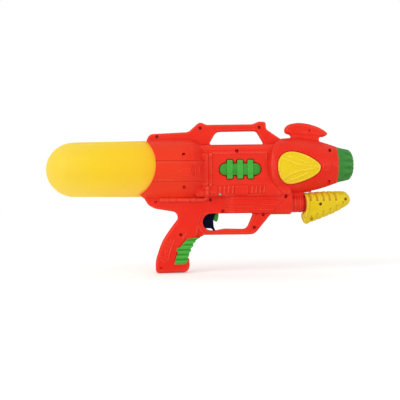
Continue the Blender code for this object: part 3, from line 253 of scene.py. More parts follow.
@dataclass(frozen=True)
class MouldedPlastic:
    """Injection-moulded plastic: even colour with flow streaks and a fine grain, painted shade in hollows, and crests
    paler by rubbed wear and a painted highlight.
    """

    name: str
    colour: Colour
    # Painted shade colour for hollows and creases.
    hollow: Colour
    # Paler colour for flow streaks and for painted highlights on crests.
    crest: Colour
    rough: float = 0.34
    grain: float = 0.10
    streak: float = 0.25
    gloss: float = 0.14
    shade: float = 0.42
    # Painted light on the cup at the rear: a tone for high and one for low, and the limits of where it lies.
    painted_light: tuple[Colour, Colour] | None = None
    painted_light_tones: Limits = (-0.152, -0.130)
    painted_light_front: Limits = (-0.004, -0.032)
    painted_light_foot: Limits = (0.1195, 0.1225)
    painted_light_top: Limits = (-0.2185, -0.2015)
    cloud_scale: float = 14.0
    flow_scale: float = 38.0
    grain_scale: float = 1500.0
    scuff_scale: float = 160.0
    tint_limits: Limits = (0.35, 0.75)
    # Relief ranges of the painted shade in hollows and of the wear and painted highlight on crests.
    hollow_limits: Limits = (0.483, 0.33)
    crest_limits: Limits = (0.513, 0.64)

    def material(self) -> bpy.types.Material:
        """Build the material.

        Returns:
            The material.
        """
        tree = ShaderTree(self.name)
        cloud = tree.noise(self.cloud_scale, 3.0)
        flow = tree.noise(self.flow_scale, 4.0, (0.35, 1.0, 1.0))
        grain = tree.noise(self.grain_scale, 2.0)
        scuff = tree.noise(self.scuff_scale, 5.0, (0.18, 1.0, 1.0))
        relief = tree.relief()
        tint = (0.6 * cloud + 0.4 * flow).clipped(*self.tint_limits) * self.streak
        base = tree.mix(tint, rgba(self.colour), rgba(self.crest))
        if self.painted_light:
            # Painted light on the cup at the rear of the body: paler and more orange, palest low down.
            x, _, z = tree.axes()
            tone = tree.mix((-1.0 * z).clipped(*self.painted_light_tones), *(rgba(colour) for colour in self.painted_light))
            share = x.clipped(*self.painted_light_front) * z.clipped(*self.painted_light_foot) * (-1.0 * z).clipped(*self.painted_light_top)
            base = tree.mix(share, base, tone)
        # Painted shade: the hollow colour in creases and grooves.
        base = tree.mix(relief.clipped(*self.hollow_limits) * self.shade, base, rgba(self.hollow))
        # Crests paler: partly rubbed wear, varied by the scuff noise, and partly a painted highlight.
        wear_and_highlight = relief.clipped(*self.crest_limits) * (0.55 + 0.45 * scuff.clipped(0.40, 0.62))
        base = tree.mix(wear_and_highlight * 0.85, base, rgba(self.crest))
        rough = self.rough + 0.10 * (cloud - 0.5) + 0.16 * scuff.clipped(0.55, 0.75) + 0.10 * wear_and_highlight
        rough = rough + 0.6 * tree.slant()
        skin = 0.7 * grain + 0.3 * flow
        tree.surface(Base_Color=base, Roughness=rough, IOR=PLASTIC_IOR, Specular_IOR_Level=self.gloss,
                     Normal=tree.bump(skin, self.grain, 0.0004))
        return tree.material


@dataclass(frozen=True)
class BlownPlastic:
    """Blow-moulded tank: soft translucent wall, with painted light: paler at the dome and along the top and bottom
    where the seam runs, red light and shade painted near the cup, and a painted glow low down.
    """

    name: str
    colour: Colour
    # Pale colour of the painted light at the dome, top and bottom.
    painted_pale_light: Colour
    # Colour of the painted red light and shade from the cup.
    painted_cup_light: Colour
    # Colour of the painted glow low down.
    lit: Colour
    rough: float = 0.30
    gloss: float = 0.14
    # Strength of the painted glow low down.
    glow: float = 0.08
    dome_limits: Limits = (0.165, 0.245)
    cup_light_limits: tuple[Limits, Limits] = ((-0.165, -0.085), (-0.092, -0.068))
    underglow_limits: Limits = (-0.160, -0.128)
    cloud_scale: float = 11.0
    ripple_scale: float = 60.0
    grain_scale: float = 900.0

    def material(self) -> bpy.types.Material:
        """Build the material.

        Returns:
            The material.
        """
        tree = ShaderTree(self.name)
        along, _, up = tree.axes()
        dome = (-1.0 * along).clipped(*self.dome_limits)
        off_axis = up - TANK_Z * MM
        edge = (off_axis * off_axis * 500.0).clipped(0.25, 1.0)
        cloud = tree.noise(self.cloud_scale, 2.0)
        ripple = tree.noise(self.ripple_scale, 2.0, (0.25, 1.0, 1.0))
        grain = tree.noise(self.grain_scale, 2.0)
        # Painted light: paler towards the dome and the top and bottom of the tank, with a little random tone.
        painted_pale_light = (0.75 * dome + 0.40 * edge + 0.30 * (cloud - 0.5)).clipped(0.0, 1.0)
        base = tree.mix(painted_pale_light, rgba(self.colour), rgba(self.painted_pale_light))
        # Painted red light and shade from the cup, near its mouth.
        rear, front = self.cup_light_limits
        cup_light_share = 0.5 * along.clipped(*rear) + 0.5 * along.clipped(*front)
        base = tree.mix(cup_light_share, base, rgba(self.painted_cup_light))
        # Painted light: the lower part of the tank glows, as if lit from below.
        glow = tree.mix((-1.0 * up).clipped(*self.underglow_limits), base, rgba(self.lit))
        rough = self.rough + 0.12 * (cloud - 0.5) + 0.6 * tree.slant()
        skin = 0.75 * ripple + 0.25 * grain
        tree.surface(Base_Color=base, Roughness=rough, IOR=PLASTIC_IOR, Specular_IOR_Level=self.gloss,
                     Subsurface_Weight=0.5, Subsurface_Scale=0.5, Subsurface_Radius=(0.02, 0.012, 0.004),
                     Emission_Color=glow, Emission_Strength=self.glow, Normal=tree.bump(skin, 0.12, 0.0008))
        return tree.material


@dataclass(frozen=True)
class PlatedSteel:
    """Plated steel with fine turning marks and dull patches, and a painted glow that stands in for light from the
    plastic round a deep hole.
    """

    name: str
    colour: Colour = (0.40, 0.36, 0.32)
    dull: Colour = (0.24, 0.22, 0.20)
    metal: float = 0.9
    # Colour of a painted glow, none by default.
    glow: Colour = (0.0, 0.0, 0.0)
    gloss: float = 0.5
    patch_scale: float = 420.0
    mark_scale: float = 2600.0

    def material(self) -> bpy.types.Material:
        """Build the material.

        Returns:
            The material.
        """
        tree = ShaderTree(self.name)
        patch = tree.noise(self.patch_scale, 4.0)
        marks = tree.noise(self.mark_scale, 2.0, (1.0, 0.2, 1.0))
        base = tree.mix(patch.clipped(0.45, 0.75), rgba(self.colour), rgba(self.dull))
        rough = 0.28 + 0.25 * patch.clipped(0.4, 0.8)
        # Painted light: the glow colour, less on the dull patches.
        glow = tree.mix(patch.clipped(0.35, 0.75), rgba(self.glow), grey(0.0))
        tree.surface(Base_Color=base, Roughness=rough, Metallic=self.metal, Specular_IOR_Level=self.gloss,
                     Emission_Color=glow, Emission_Strength=1.0, Normal=tree.bump(marks, 0.12, 0.0002))
        return tree.material


@dataclass(frozen=True)
class SoftMaterial:
    """Rubber, hose or natural plastic: a dull mottled surface."""

    name: str
    colour: Colour
    mottle: Colour
    rough: float
    cloud_scale: float = 90.0
    grain_scale: float = 1800.0

    def material(self) -> bpy.types.Material:
        """Build the material.

        Returns:
            The material.
        """
        tree = ShaderTree(self.name)
        cloud = tree.noise(self.cloud_scale, 4.0)
        grain = tree.noise(self.grain_scale, 2.0)
        base = tree.mix(cloud.clipped(0.35, 0.70), rgba(self.colour), rgba(self.mottle))
        rough = self.rough + 0.15 * (cloud - 0.5)
        tree.surface(Base_Color=base, Roughness=rough, Normal=tree.bump(grain, 0.15, 0.0003))
        return tree.material


def sunk_steel(name: str, colour: Colour, dull: Colour, glow: Colour) -> PlatedSteel:
    """Steel at the bottom of a hole, darkened and tinted as painted shade and painted light from the plastic round it,
    with a painted glow.
    """
    return PlatedSteel(name, colour, dull, 0.0, glow, 0.1)


class Finish(Enum):
    """Finishes of the squirter's pieces."""

    # Moulded finishes: own colour, a painted shade colour for hollows, and a paler colour for flow streaks and painted
    # highlights on crests; RED's two tones are painted light on the cup.
    RED = MouldedPlastic("red_plastic", (0.83, 0.021, 0.009), (0.42, 0.005, 0.003), (0.92, 0.105, 0.060),
                         painted_light=((0.85, 0.044, 0.014), (0.96, 0.054, 0.019)))
    # Same red with a darker painted shade in the hollows, for the groove beside the handle.
    SLEEVE = MouldedPlastic("sleeve_plastic", (0.83, 0.021, 0.009), (0.12, 0.002, 0.003), (0.92, 0.105, 0.060),
                            shade=1.0)
    AMBER = BlownPlastic("tank_plastic", (0.940, 0.605, 0.024), (0.945, 0.645, 0.088), (0.92, 0.480, 0.020),
                         (2.3, 1.80, 0.42))
    YELLOW = MouldedPlastic("yellow_plastic", (0.860, 0.600, 0.006), (0.64, 0.350, 0.004), (0.97, 0.800, 0.100))
    HANDLE = MouldedPlastic("handle_plastic", (0.760, 0.550, 0.006), (0.42, 0.165, 0.003), (0.94, 0.770, 0.085),
                            shade=0.8)
    GREEN = MouldedPlastic("green_plastic", (0.050, 0.395, 0.039), (0.014, 0.170, 0.016), (0.13, 0.560, 0.095))
    DEEP = MouldedPlastic("nozzle_plastic", (0.034, 0.230, 0.034), (0.008, 0.080, 0.012), (0.12, 0.380, 0.090),
                          shade=0.95)
    NAVY = MouldedPlastic("navy_plastic", (0.001, 0.002, 0.014), (0.001, 0.001, 0.006), (0.004, 0.006, 0.030),
                          rough=0.40, gloss=0.06)
    WHITE = SoftMaterial("white_plastic", (0.74, 0.74, 0.70), (0.64, 0.64, 0.60), 0.42)
    HOSE = SoftMaterial("hose_plastic", (0.68, 0.71, 0.71), (0.56, 0.60, 0.60), 0.30)
    RUBBER = SoftMaterial("black_rubber", (0.016, 0.016, 0.017), (0.034, 0.033, 0.032), 0.66)
    STEEL = PlatedSteel("plated_steel")
    # Screw steel: shaded and lit copies of one material, darkened and tinted as painted shade and painted light from
    # the plastic round the hole, each with a painted glow.
    SUNK_RED = sunk_steel("shaded_steel_in_red", (0.10, 0.007, 0.006), (0.05, 0.004, 0.004), (0.46, 0.009, 0.009))
    LIT_RED = sunk_steel("lit_steel_in_red", (0.22, 0.010, 0.009), (0.14, 0.006, 0.006), (1.10, 0.014, 0.014))
    SUNK_YELLOW = sunk_steel("shaded_steel_in_yellow", (0.10, 0.045, 0.006), (0.05, 0.022, 0.004),
                             (0.26, 0.105, 0.005))
    LIT_YELLOW = sunk_steel("lit_steel_in_yellow", (0.38, 0.190, 0.010), (0.26, 0.110, 0.008), (0.50, 0.240, 0.010))


def filleted(corners: Sequence[Corner], inset: float = 0.0, turn: float = 14.0) -> np.ndarray:
    """Closed outline through filleted corners.

    Args:
        corners: X, Z and fillet radius of each corner.
        inset: Distance that the outline moves inwards, negative to move it outwards.
        turn: Largest angle between neighbouring fillet points, in degrees.

    Returns:
        Points of the outline.
    """
    points = [Vector(corner[:2]) for corner in corners]
    count = len(points)
    side = 1.0 if sum(points[i - 1].cross(points[i]) for i in range(count)) > 0 else -1.0
    loop = []
    for i, point in enumerate(points):
        before = (point - points[i - 1]).normalized()
        after = (points[(i + 1) % count] - point).normalized()
        angle = before.angle(after)
        convex = 1.0 if before.cross(after) * side > 0 else -1.0
        normal = Vector((-before.y, before.x)) * side
        middle = (normal + Vector((-after.y, after.x)) * side).normalized()
        corner = point + middle * (inset / max(middle.dot(normal), LEAST_LEAN))
        radius = max(corners[i][2] - inset * convex, LEAST_FILLET)
        start = corner - before * (radius * math.tan(angle / 2))
        bend = convex * side
        centre = start + Vector((-before.y, before.x)) * (bend * radius)
        steps = max(1, math.ceil(math.degrees(angle) / turn))
        for k in range(steps + 1):
            spoke = start - centre
            spoke.rotate(Matrix.Rotation(bend * angle * k / steps, 2))
            loop.append((centre.x + spoke.x, centre.y + spoke.y))
    return np.array(loop)


def rectangle(low: Spot, high: Spot, radius: float) -> tuple[Corner, ...]:
    """Corners of an upright rectangle."""
    return ((low[0], low[1], radius), (high[0], low[1], radius), (high[0], high[1], radius), (low[0], high[1], radius))


def densified(line: np.ndarray, gap: float, closed: bool = True) -> np.ndarray:
    """Line with points added so that neighbours are at most gap apart.

    Args:
        line: Points of the line.
        gap: Largest distance between neighbours.
        closed: Whether the line returns to its start.

    Returns:
        Points of the denser line.
    """
    following = np.roll(line, -1, axis=0)
    count = len(line) if closed else len(line) - 1
    points = []
    for start, end in zip(line[:count], following[:count]):
        steps = max(1, math.ceil(float(np.linalg.norm(end - start)) / gap))
        points.extend(start + (end - start) * k / steps for k in range(steps))
    if not closed:
        points.append(line[-1])
    return np.array(points)


def spline(points: Sequence[Spot], steps: int, closed: bool) -> np.ndarray:
    """Smooth line through points.

    Args:
        points: X and Z of the points.
        steps: Pieces between neighbouring points.
        closed: Whether the line returns to its start.

    Returns:
        Points of the smooth line.
    """
    knots = np.array(points, float)
    count = len(knots)
    ends = (count, np.arange(-1, count + 2) % count) if closed else (
        count - 1, np.clip(np.arange(-1, count + 2), 0, count - 1))
    line = []
    for i in range(ends[0]):
        a, b, c, d = (knots[j] for j in ends[1][i:i + 4])
        for k in range(steps):
            t = k / steps
            line.append(0.5 * (2 * b + (c - a) * t + (2 * a - 5 * b + 4 * c - d) * t * t
                               + (3 * b - a - 3 * c + d) * t ** 3))
    if not closed:
        line.append(knots[-1])
    return np.array(line)


def circle(centre: Spot, radius: float, sides: int = 20) -> np.ndarray:
    """Closed round outline."""
    angle = np.arange(sides) * 2 * math.pi / sides
    return np.stack((centre[0] + radius * np.cos(angle), centre[1] + radius * np.sin(angle)), axis=1)


def ruled(start: Spot, end: Spot) -> Line:
    """Straight open mesh line."""
    return np.array((start, end), float), False


def raised(flat: np.ndarray, y: np.ndarray) -> np.ndarray:
    """Points in space from their places in side view."""
    return np.stack((flat[:, 0], y, flat[:, 1]), axis=1)


def rims(corners: Sequence[Corner], insets: Sequence[float], turn: float = 14.0) -> list[Line]:
    """Closed mesh lines along filleted corners, at several insets."""
    return [(filleted(corners, inset, turn), True) for inset in insets]


def rings(spots: Sequence[Spot], radius: float, offsets: Sequence[float], sides: int) -> list[Line]:
    """Round mesh lines about each spot, at several offsets from a radius."""
    return [(circle(spot, radius + offset, sides), True) for spot in spots for offset in offsets]


def grid(low: Spot, high: Spot, gap: float, stagger: float = 0.0) -> np.ndarray:
    """Points of an even grid, with every second row moved along by the stagger.

    Args:
        low: Lowest X and Z.
        high: Limits of X and Z.
        gap: Distance between neighbours.
        stagger: Distance that every second row is moved along X.

    Returns:
        X and Z of the points.
    """
    x, z = np.meshgrid(np.arange(low[0], high[0], gap), np.arange(low[1], high[1], gap))
    x = x + stagger * (np.arange(len(x))[:, None] % 2)
    return np.stack((x.ravel(), z.ravel()), axis=1)


def half_turn(step: float) -> np.ndarray:
    """Sines at even steps, in degrees, from the bottom of a round form to its top."""
    return np.sin(np.radians(np.arange(-90.0, 90.1, step)))


def unit(vectors: np.ndarray) -> np.ndarray:
    """Vectors brought to length 1."""
    return vectors / np.maximum(np.linalg.norm(vectors, axis=1, keepdims=True), TINY)


def left_of(vectors: np.ndarray) -> np.ndarray:
    """Vectors turned by a quarter."""
    return np.stack((-vectors[:, 1], vectors[:, 0]), axis=1)


def moved_in(loop: np.ndarray, inset: float) -> np.ndarray:
    """Closed outline moved inwards along its own normals.

    Args:
        loop: The outline.
        inset: Distance that it moves, negative to move it outwards.

    Returns:
        Points of the moved outline.
    """
    before = unit(loop - np.roll(loop, 1, axis=0))
    after = unit(np.roll(loop, -1, axis=0) - loop)
    area = float(np.sum(loop[:, 0] * np.roll(loop[:, 1], -1) - loop[:, 1] * np.roll(loop[:, 0], -1)))
    normal = unit(left_of(before + after) * math.copysign(1.0, area))
    lean = np.abs((normal * left_of(before)).sum(1, keepdims=True))
    return loop + normal * inset / np.maximum(lean, 0.5)


def band(path: np.ndarray, half: float) -> np.ndarray:
    """Closed outline at an even distance around an open path.

    Args:
        path: Points of the path.
        half: Distance from the path.

    Returns:
        Points of the outline.
    """
    run = unit(np.gradient(path, axis=0))
    normal = left_of(run)
    turns = np.radians((45.0, 90.0, 135.0))
    tail = [path[0] + half * (normal[0] * math.cos(a) - run[0] * math.sin(a)) for a in turns]
    head = [path[-1] + half * (run[-1] * math.sin(a) - normal[-1] * math.cos(a)) for a in turns]
    return np.concatenate((path - normal * half, np.array(head), (path + normal * half)[::-1], np.array(tail)))


def near_box(points: np.ndarray, line: np.ndarray, reach: float) -> np.ndarray:
    """Mask of the points within reach of a line's box.

    Args:
        points: X and Z of the points.
        line: Points of the line.
        reach: Distance outside the line's box.

    Returns:
        True for each point in reach.
    """
    low = line.min(0) - reach
    high = line.max(0) + reach
    return ((points >= low) & (points <= high)).all(1)


def segment_distance(points: np.ndarray, start: np.ndarray, end: np.ndarray) -> np.ndarray:
    """Distance from each point to the nearest of many segments.

    Args:
        points: X and Z of the points.
        start: Starts of the segments.
        end: Ends of the segments.

    Returns:
        The distances.
    """
    run = end - start
    square = np.maximum((run ** 2).sum(1), LEVEL)
    result = np.empty(len(points))
    for first in range(0, len(points), CHUNK):
        away = points[first:first + CHUNK, None, :] - start
        share = np.clip((away * run).sum(2) / square, 0.0, 1.0)
        gap = away - share[..., None] * run
        result[first:first + CHUNK] = np.sqrt((gap ** 2).sum(2).min(1))
    return result


def is_inside(points: np.ndarray, loop: np.ndarray) -> np.ndarray:
    """Mask of the points inside a closed outline.

    Args:
        points: X and Z of the points.
        loop: The outline.

    Returns:
        True for each point inside.
    """
    start = loop
    end = np.roll(loop, -1, axis=0)
    rise = end[:, 1] - start[:, 1]
    slope = (end[:, 0] - start[:, 0]) / np.where(np.abs(rise) < LEVEL, LEVEL, rise)
    result = np.zeros(len(points), bool)
    for first in range(0, len(points), CHUNK):
        x = points[first:first + CHUNK, None, 0]
        z = points[first:first + CHUNK, None, 1]
        crossing = (start[:, 1] > z) != (end[:, 1] > z)
        result[first:first + CHUNK] = ((crossing & (x < start[:, 0] + (z - start[:, 1]) * slope)).sum(1) % 2) == 1
    return result


def depth_in(points: np.ndarray, loop: np.ndarray, reach: float = 14.0) -> np.ndarray:
    """Distance inwards from a closed outline.

    Args:
        points: X and Z of the points.
        loop: The outline.
        reach: Distance outside the outline's box beyond which points count as far away.

    Returns:
        Distances, positive inside and negative outside.
    """
    result = np.full(len(points), FAR)
    close = near_box(points, loop, reach)
    if close.any():
        spots = points[close]
        gap = segment_distance(spots, loop, np.roll(loop, -1, axis=0))
        result[close] = np.where(is_inside(spots, loop), gap, -gap)
    return result


def eased(share: np.ndarray) -> np.ndarray:
    """Smooth ramp from 0 to 1."""
    share = np.clip(share, 0.0, 1.0)
    return share * share * (3.0 - 2.0 * share)


def rounded_off(depth: np.ndarray, edge: float) -> np.ndarray:
    """How far a surface has dropped at a depth inside an outline whose rim is rounded.

    Args:
        depth: Depth of each point inside the outline.
        edge: Radius of the rim.

    Returns:
        Drops, 0 where the depth is past the radius.
    """
    if edge <= 0.0:
        return np.zeros_like(depth)
    run = edge - np.clip(depth, 0.0, edge)
    return edge - np.sqrt(edge * edge - run * run)


def soft_max(first: np.ndarray, second: np.ndarray, fillet: float) -> np.ndarray:
    """Larger of two heights with a small fillet where they meet."""
    blend = np.maximum(fillet - np.abs(first - second), 0.0)
    return np.maximum(first, second) + blend * blend / (4.0 * fillet)


def round_height(radius: np.ndarray | float, off_axis: np.ndarray) -> np.ndarray:
    """Height of a round form at a distance from its axis, 0 beyond its radius."""
    return np.sqrt(np.maximum(radius * radius - off_axis ** 2, 0.0))


def sunk_holes(height: np.ndarray, points: np.ndarray, spots: Sequence[Spot], radius: float,
               floor: float) -> np.ndarray:
    """Skin with a screw hole at each spot.

    Args:
        height: Height of the skin at each point.
        points: X and Z of the points.
        spots: X and Z of the holes.
        radius: Radius of the holes.
        floor: Height of their floors.

    Returns:
        Height of the skin with the holes and their eased rims.
    """
    for spot in spots:
        reach = np.linalg.norm(points - spot, axis=1) - radius
        height = height - RIM_DROP * np.clip(1.0 - reach / RIM_WIDTH, 0.0, 1.0)
        height = np.where(reach < HOLE_WALL, np.minimum(height, floor), height)
    return height


@dataclass
class Patch:
    """Flat detail raised above or sunk below the surface inside one or more outlines."""

    outlines: list[np.ndarray]
    height: float
    ramp: float = 0.7

    def rise(self, points: np.ndarray) -> np.ndarray:
        """Height that the detail adds at each point."""
        depth = np.max([depth_in(points, outline, 2.0) for outline in self.outlines], axis=0)
        return self.height * eased((depth + self.ramp / 2) / self.ramp)

    def lines(self) -> list[Line]:
        """Mesh lines that the detail needs.

        Returns:
            The mesh lines.
        """
        half = self.ramp / 2
        return [(moved_in(outline, inset), True) for outline in self.outlines
                for inset in (-half - RAMP_STRIP, -half, 0.0, half, half + RAMP_STRIP)]


@dataclass
class Ridge:
    """Bead or groove along an open path, with a soft or a fully round section."""

    path: np.ndarray
    width: float
    height: float
    is_round: bool = False

    def rise(self, points: np.ndarray) -> np.ndarray:
        """Height that the detail adds at each point.

        Args:
            points: X and Z of the points.

        Returns:
            Heights to add.
        """
        result = np.zeros(len(points))
        close = near_box(points, self.path, self.width)
        if close.any():
            share = np.minimum(segment_distance(points[close], self.path[:-1], self.path[1:]) * 2 / self.width, 1.0)
            shape = np.sqrt(1.0 - share * share) if self.is_round else np.cos(share * math.pi / 2) ** 2
            result[close] = self.height * shape
        return result

    def lines(self) -> list[Line]:
        """Mesh lines that the detail needs.

        Returns:
            The mesh lines.
        """
        half = self.width / 2
        shares = ROUND_SHARES if self.is_round else SOFT_SHARES
        return [(band(self.path, half * share), True) for share in shares] + [(self.path, False)]


@dataclass
class Dimple:
    """Round hollow, or a round bump where its depth is negative."""

    centre: Spot
    radius: float
    depth: float

    def rise(self, points: np.ndarray) -> np.ndarray:
        """Height that the detail adds at each point."""
        share = np.minimum(np.linalg.norm(points - self.centre, axis=1) / self.radius, 1.0)
        return -self.depth * np.cos(share * math.pi / 2) ** 2

    def lines(self) -> list[Line]:
        """Mesh lines that the detail needs."""
        return [(circle(self.centre, self.radius * share, 16), True) for share in DIMPLE_SHARES]


Mark = Patch | Ridge | Dimple


def lines_of(marks: Sequence[Mark]) -> list[Line]:
    """Mesh lines that the details need."""
    return [line for mark in marks for line in mark.lines()]


def triangulate(lines: Sequence[Line], spots: np.ndarray | None = None) -> tuple[np.ndarray, np.ndarray]:
    """Triangles that follow every line.

    Args:
        lines: Open or closed lines that triangle edges must follow.
        spots: Further points to use, if any.

    Returns:
        Points and triangles.
    """
    points: list[Vector] = []
    edges: list[tuple[int, int]] = []
    for line, closed in lines:
        first = len(points)
        points.extend(Vector((float(x), float(z))) for x, z in line)
        last = len(points) - 1
        edges.extend((i, i + 1) for i in range(first, last))
        if closed:
            edges.append((last, first))
    if spots is not None:
        points.extend(Vector((float(x), float(z))) for x, z in spots)
    result = delaunay_2d_cdt(points, edges, [], 0, MERGE)
    return np.array([(p.x, p.y) for p in result[0]]), np.array([face[:3] for face in result[2]])


def rim_edges(faces: np.ndarray) -> np.ndarray:
    """Edges used by one triangle only, in that triangle's direction.

    Args:
        faces: The triangles.

    Returns:
        Point numbers of each edge.
    """
    edges = np.concatenate((faces[:, (0, 1)], faces[:, (1, 2)], faces[:, (2, 0)]))
    key = np.sort(edges, axis=1)
    _, index, count = np.unique(key, axis=0, return_index=True, return_counts=True)
    return edges[index[count == 1]]


@dataclass
class Mould:
    """Piece bounded by two height fields over one side outline: an outer skin and an underside."""

    contains: Field
    lines: list[Line]
    under_lines: list[Line] = field(default_factory=list)
    spots: np.ndarray | None = None
    gap: float = 2.6

    def __post_init__(self) -> None:
        """Triangulate the skin and the underside over the same rim."""
        lines = [(densified(line, self.gap, closed), closed) for line, closed in self.lines]
        self.skin = self.inside(*triangulate(lines, self.spots))
        rim = [(self.skin[0][edge], False) for edge in rim_edges(self.skin[1])]
        under = [(densified(line, 2 * self.gap, closed), closed) for line, closed in self.under_lines]
        self.base = self.inside(*triangulate(rim + under, None if self.spots is None else self.spots[::3]))

    def inside(self, points: np.ndarray, faces: np.ndarray) -> tuple[np.ndarray, np.ndarray]:
        """Triangles inside the side outline, with the points that they use.

        Args:
            points: X and Z of the points.
            faces: The triangles.

        Returns:
            Points and triangles that are kept.
        """
        faces = faces[self.contains(points[faces].mean(1))]
        used, faces = np.unique(faces, return_inverse=True)
        return points[used], faces.reshape(-1, 3)

    def shell(self, outer: Field, under: Field, side: Side) -> tuple[np.ndarray, np.ndarray]:
        """Closed mesh of one half.

        Args:
            outer: Height of the skin above the parting plane.
            under: Height of the underside above the parting plane.
            side: Half that the mesh is for.

        Returns:
            Points and triangles, in millimetres.
        """
        top, top_faces = self.skin
        low, low_faces = self.base
        sign = float(side.value)
        points = np.concatenate((raised(top, sign * outer(top)), raised(low, sign * under(low))))
        place = {(round(x, 3), round(z, 3)): i + len(top) for i, (x, z) in enumerate(low)}
        walls = []
        for a, b in rim_edges(top_faces):
            c = place[(round(top[a, 0], 3), round(top[a, 1], 3))]
            d = place[(round(top[b, 0], 3), round(top[b, 1], 3))]
            walls += [(b, a, c), (b, c, d)]
        faces = np.concatenate((top_faces, low_faces[:, ::-1] + len(top), np.array(walls)))
        return points, faces if side is Side.RIGHT else faces[:, ::-1]

    def slab(self, outer: Field, middle: float = 0.0) -> tuple[np.ndarray, np.ndarray]:
        """Closed mesh with the same skin on both sides of a plane.

        Args:
            outer: Height of the skin above the middle plane.
            middle: Y of the middle plane.

        Returns:
            Points and triangles, in millimetres.
        """
        flat, faces = self.skin
        height = outer(flat)
        points = np.concatenate((raised(flat, middle - height), raised(flat, middle + height)))
        count = len(flat)
        walls = []
        for a, b in rim_edges(faces):
            walls += [(b, a, a + count), (b, a + count, b + count)]
        return points, np.concatenate((faces, faces[:, ::-1] + count, np.array(walls)))


class Palette:
    """Materials of the finishes, each made once."""

    def __init__(self) -> None:
        """Start with no material made."""
        self.made: dict[Finish, bpy.types.Material] = {}

    def __getitem__(self, finish: Finish) -> bpy.types.Material:
        """Material of a finish.

        Args:
            finish: The finish.

        Returns:
            The material.
        """
        if finish not in self.made:
            self.made[finish] = finish.value.material()
        return self.made[finish]


palette = Palette()


def rows_of(items: bpy.types.bpy_prop_collection, key: str, width: int, kind: type) -> np.ndarray:
    """Values of a mesh's items, one row for each item.

    Args:
        items: Points, edges or normals of the mesh.
        key: Name of the value.
        width: Numbers in each value.
        kind: Type of the numbers.

    Returns:
        The values.
    """
    values = np.empty(len(items) * width, kind)
    items.foreach_get(key, values)
    return values.reshape(-1, width)


def mark_relief(mesh: bpy.types.Mesh) -> None:
    """Store on each point how far it stands out of its neighbours, with 0.5 on flat faces.

    Args:
        mesh: Mesh that gets the measure.
    """
    count = len(mesh.vertices)
    edges = rows_of(mesh.edges, "vertices", 2, np.int32)
    place = rows_of(mesh.vertices, "co", 3, np.float32).astype(float)
    normal = rows_of(mesh.vertex_normals, "vector", 3, np.float32)
    run = place[edges[:, 1]] - place[edges[:, 0]]
    length = np.maximum(np.linalg.norm(run, axis=1), TINY)
    total = np.zeros(count)
    weight = np.zeros(count)
    for near, sign in ((0, -1.0), (1, 1.0)):
        lean = sign * (run * normal[edges[:, near]]).sum(1) / length
        share = 1.0 / np.maximum(length, SHORT_EDGE)
        np.add.at(total, edges[:, near], lean * share)
        np.add.at(weight, edges[:, near], share)
    relief = np.clip(0.5 + total / np.maximum(weight, TINY), 0.0, 1.0)
    mesh.attributes.new("relief", "FLOAT", "POINT").data.foreach_set("value", relief.astype(np.float32))


def finished(name: str, mesh: bpy.types.Mesh, finish: Finish, body: str, replaced: Sequence[str] = (),
             crease: float = 34.0) -> bpy.types.Object:
    """Make a piece of the object from its mesh.

    Args:
        name: Name of the piece.
        mesh: Mesh in metres, in the frame's place.
        finish: Finish of the piece.
        body: Body that the piece moves with.
        replaced: Nodes that the piece stands for.
        crease: Angle above which an edge is sharp, in degrees.

    Returns:
        The piece.
    """
    mesh.name = name
    mesh.shade_smooth()
    mesh.set_sharp_from_angle(angle=math.radians(crease))
    mark_relief(mesh)
    mesh.materials.clear()
    mesh.materials.append(palette[finish])
    piece = bpy.data.objects.new(name, mesh)
    bpy.context.scene.collection.objects.link(piece)
    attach(piece, body)
    if replaced:
        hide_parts(*replaced)
    log.info("%s: %d faces", name, len(mesh.polygons))
    return piece


def mesh_of(points: np.ndarray, faces: Sequence[Sequence[int]]) -> bpy.types.Mesh:
    """Mesh in metres from points in millimetres.

    Args:
        points: Points in millimetres.
        faces: Point numbers of each face.

    Returns:
        The mesh.
    """
    mesh = bpy.data.meshes.new("piece")
    mesh.from_pydata((points * MM).tolist(), [], [tuple(int(i) for i in face) for face in faces])
    mesh.update()
    return mesh


def lathe(profile: np.ndarray, axis_z: float, sides: int, flutes: Field | None = None,
          depth: np.ndarray | None = None) -> bpy.types.Mesh:
    """Closed profile turned about a line along X.

    Args:
        profile: X and radius of each point, round the whole section.
        axis_z: Height of the axis.
        sides: Number of sides.
        flutes: Share of the flute's depth at each angle, if the piece is fluted.
        depth: Depth of the flutes at each profile point.

    Returns:
        The turned mesh.
    """
    angle = np.arange(sides) * 2 * math.pi / sides
    radius = np.repeat(profile[None, :, 1], sides, axis=0)
    if flutes is not None and depth is not None:
        radius = radius - flutes(angle)[:, None] * depth[None, :]
    x = np.repeat(profile[None, :, 0], sides, axis=0)
    y = radius * np.cos(angle)[:, None]
    z = axis_z + radius * np.sin(angle)[:, None]
    points = np.stack((x, y, z), axis=2).reshape(-1, 3)
    count = len(profile)
    work = bmesh.new()
    spots = [work.verts.new(point) for point in (points * MM).tolist()]
    for i in range(sides):
        for j in range(count):
            a, b = i * count, (i + 1) % sides * count
            k = (j + 1) % count
            work.faces.new((spots[a + j], spots[a + k], spots[b + k], spots[b + j]))
    bmesh.ops.remove_doubles(work, verts=work.verts, dist=WELD)
    bmesh.ops.dissolve_degenerate(work, edges=work.edges, dist=WELD)
    bmesh.ops.recalc_face_normals(work, faces=work.faces)
    if work.calc_volume(signed=True) < 0:
        bmesh.ops.reverse_faces(work, faces=work.faces)
    mesh = bpy.data.meshes.new("turned")
    work.to_mesh(mesh)
    work.free()
    return mesh


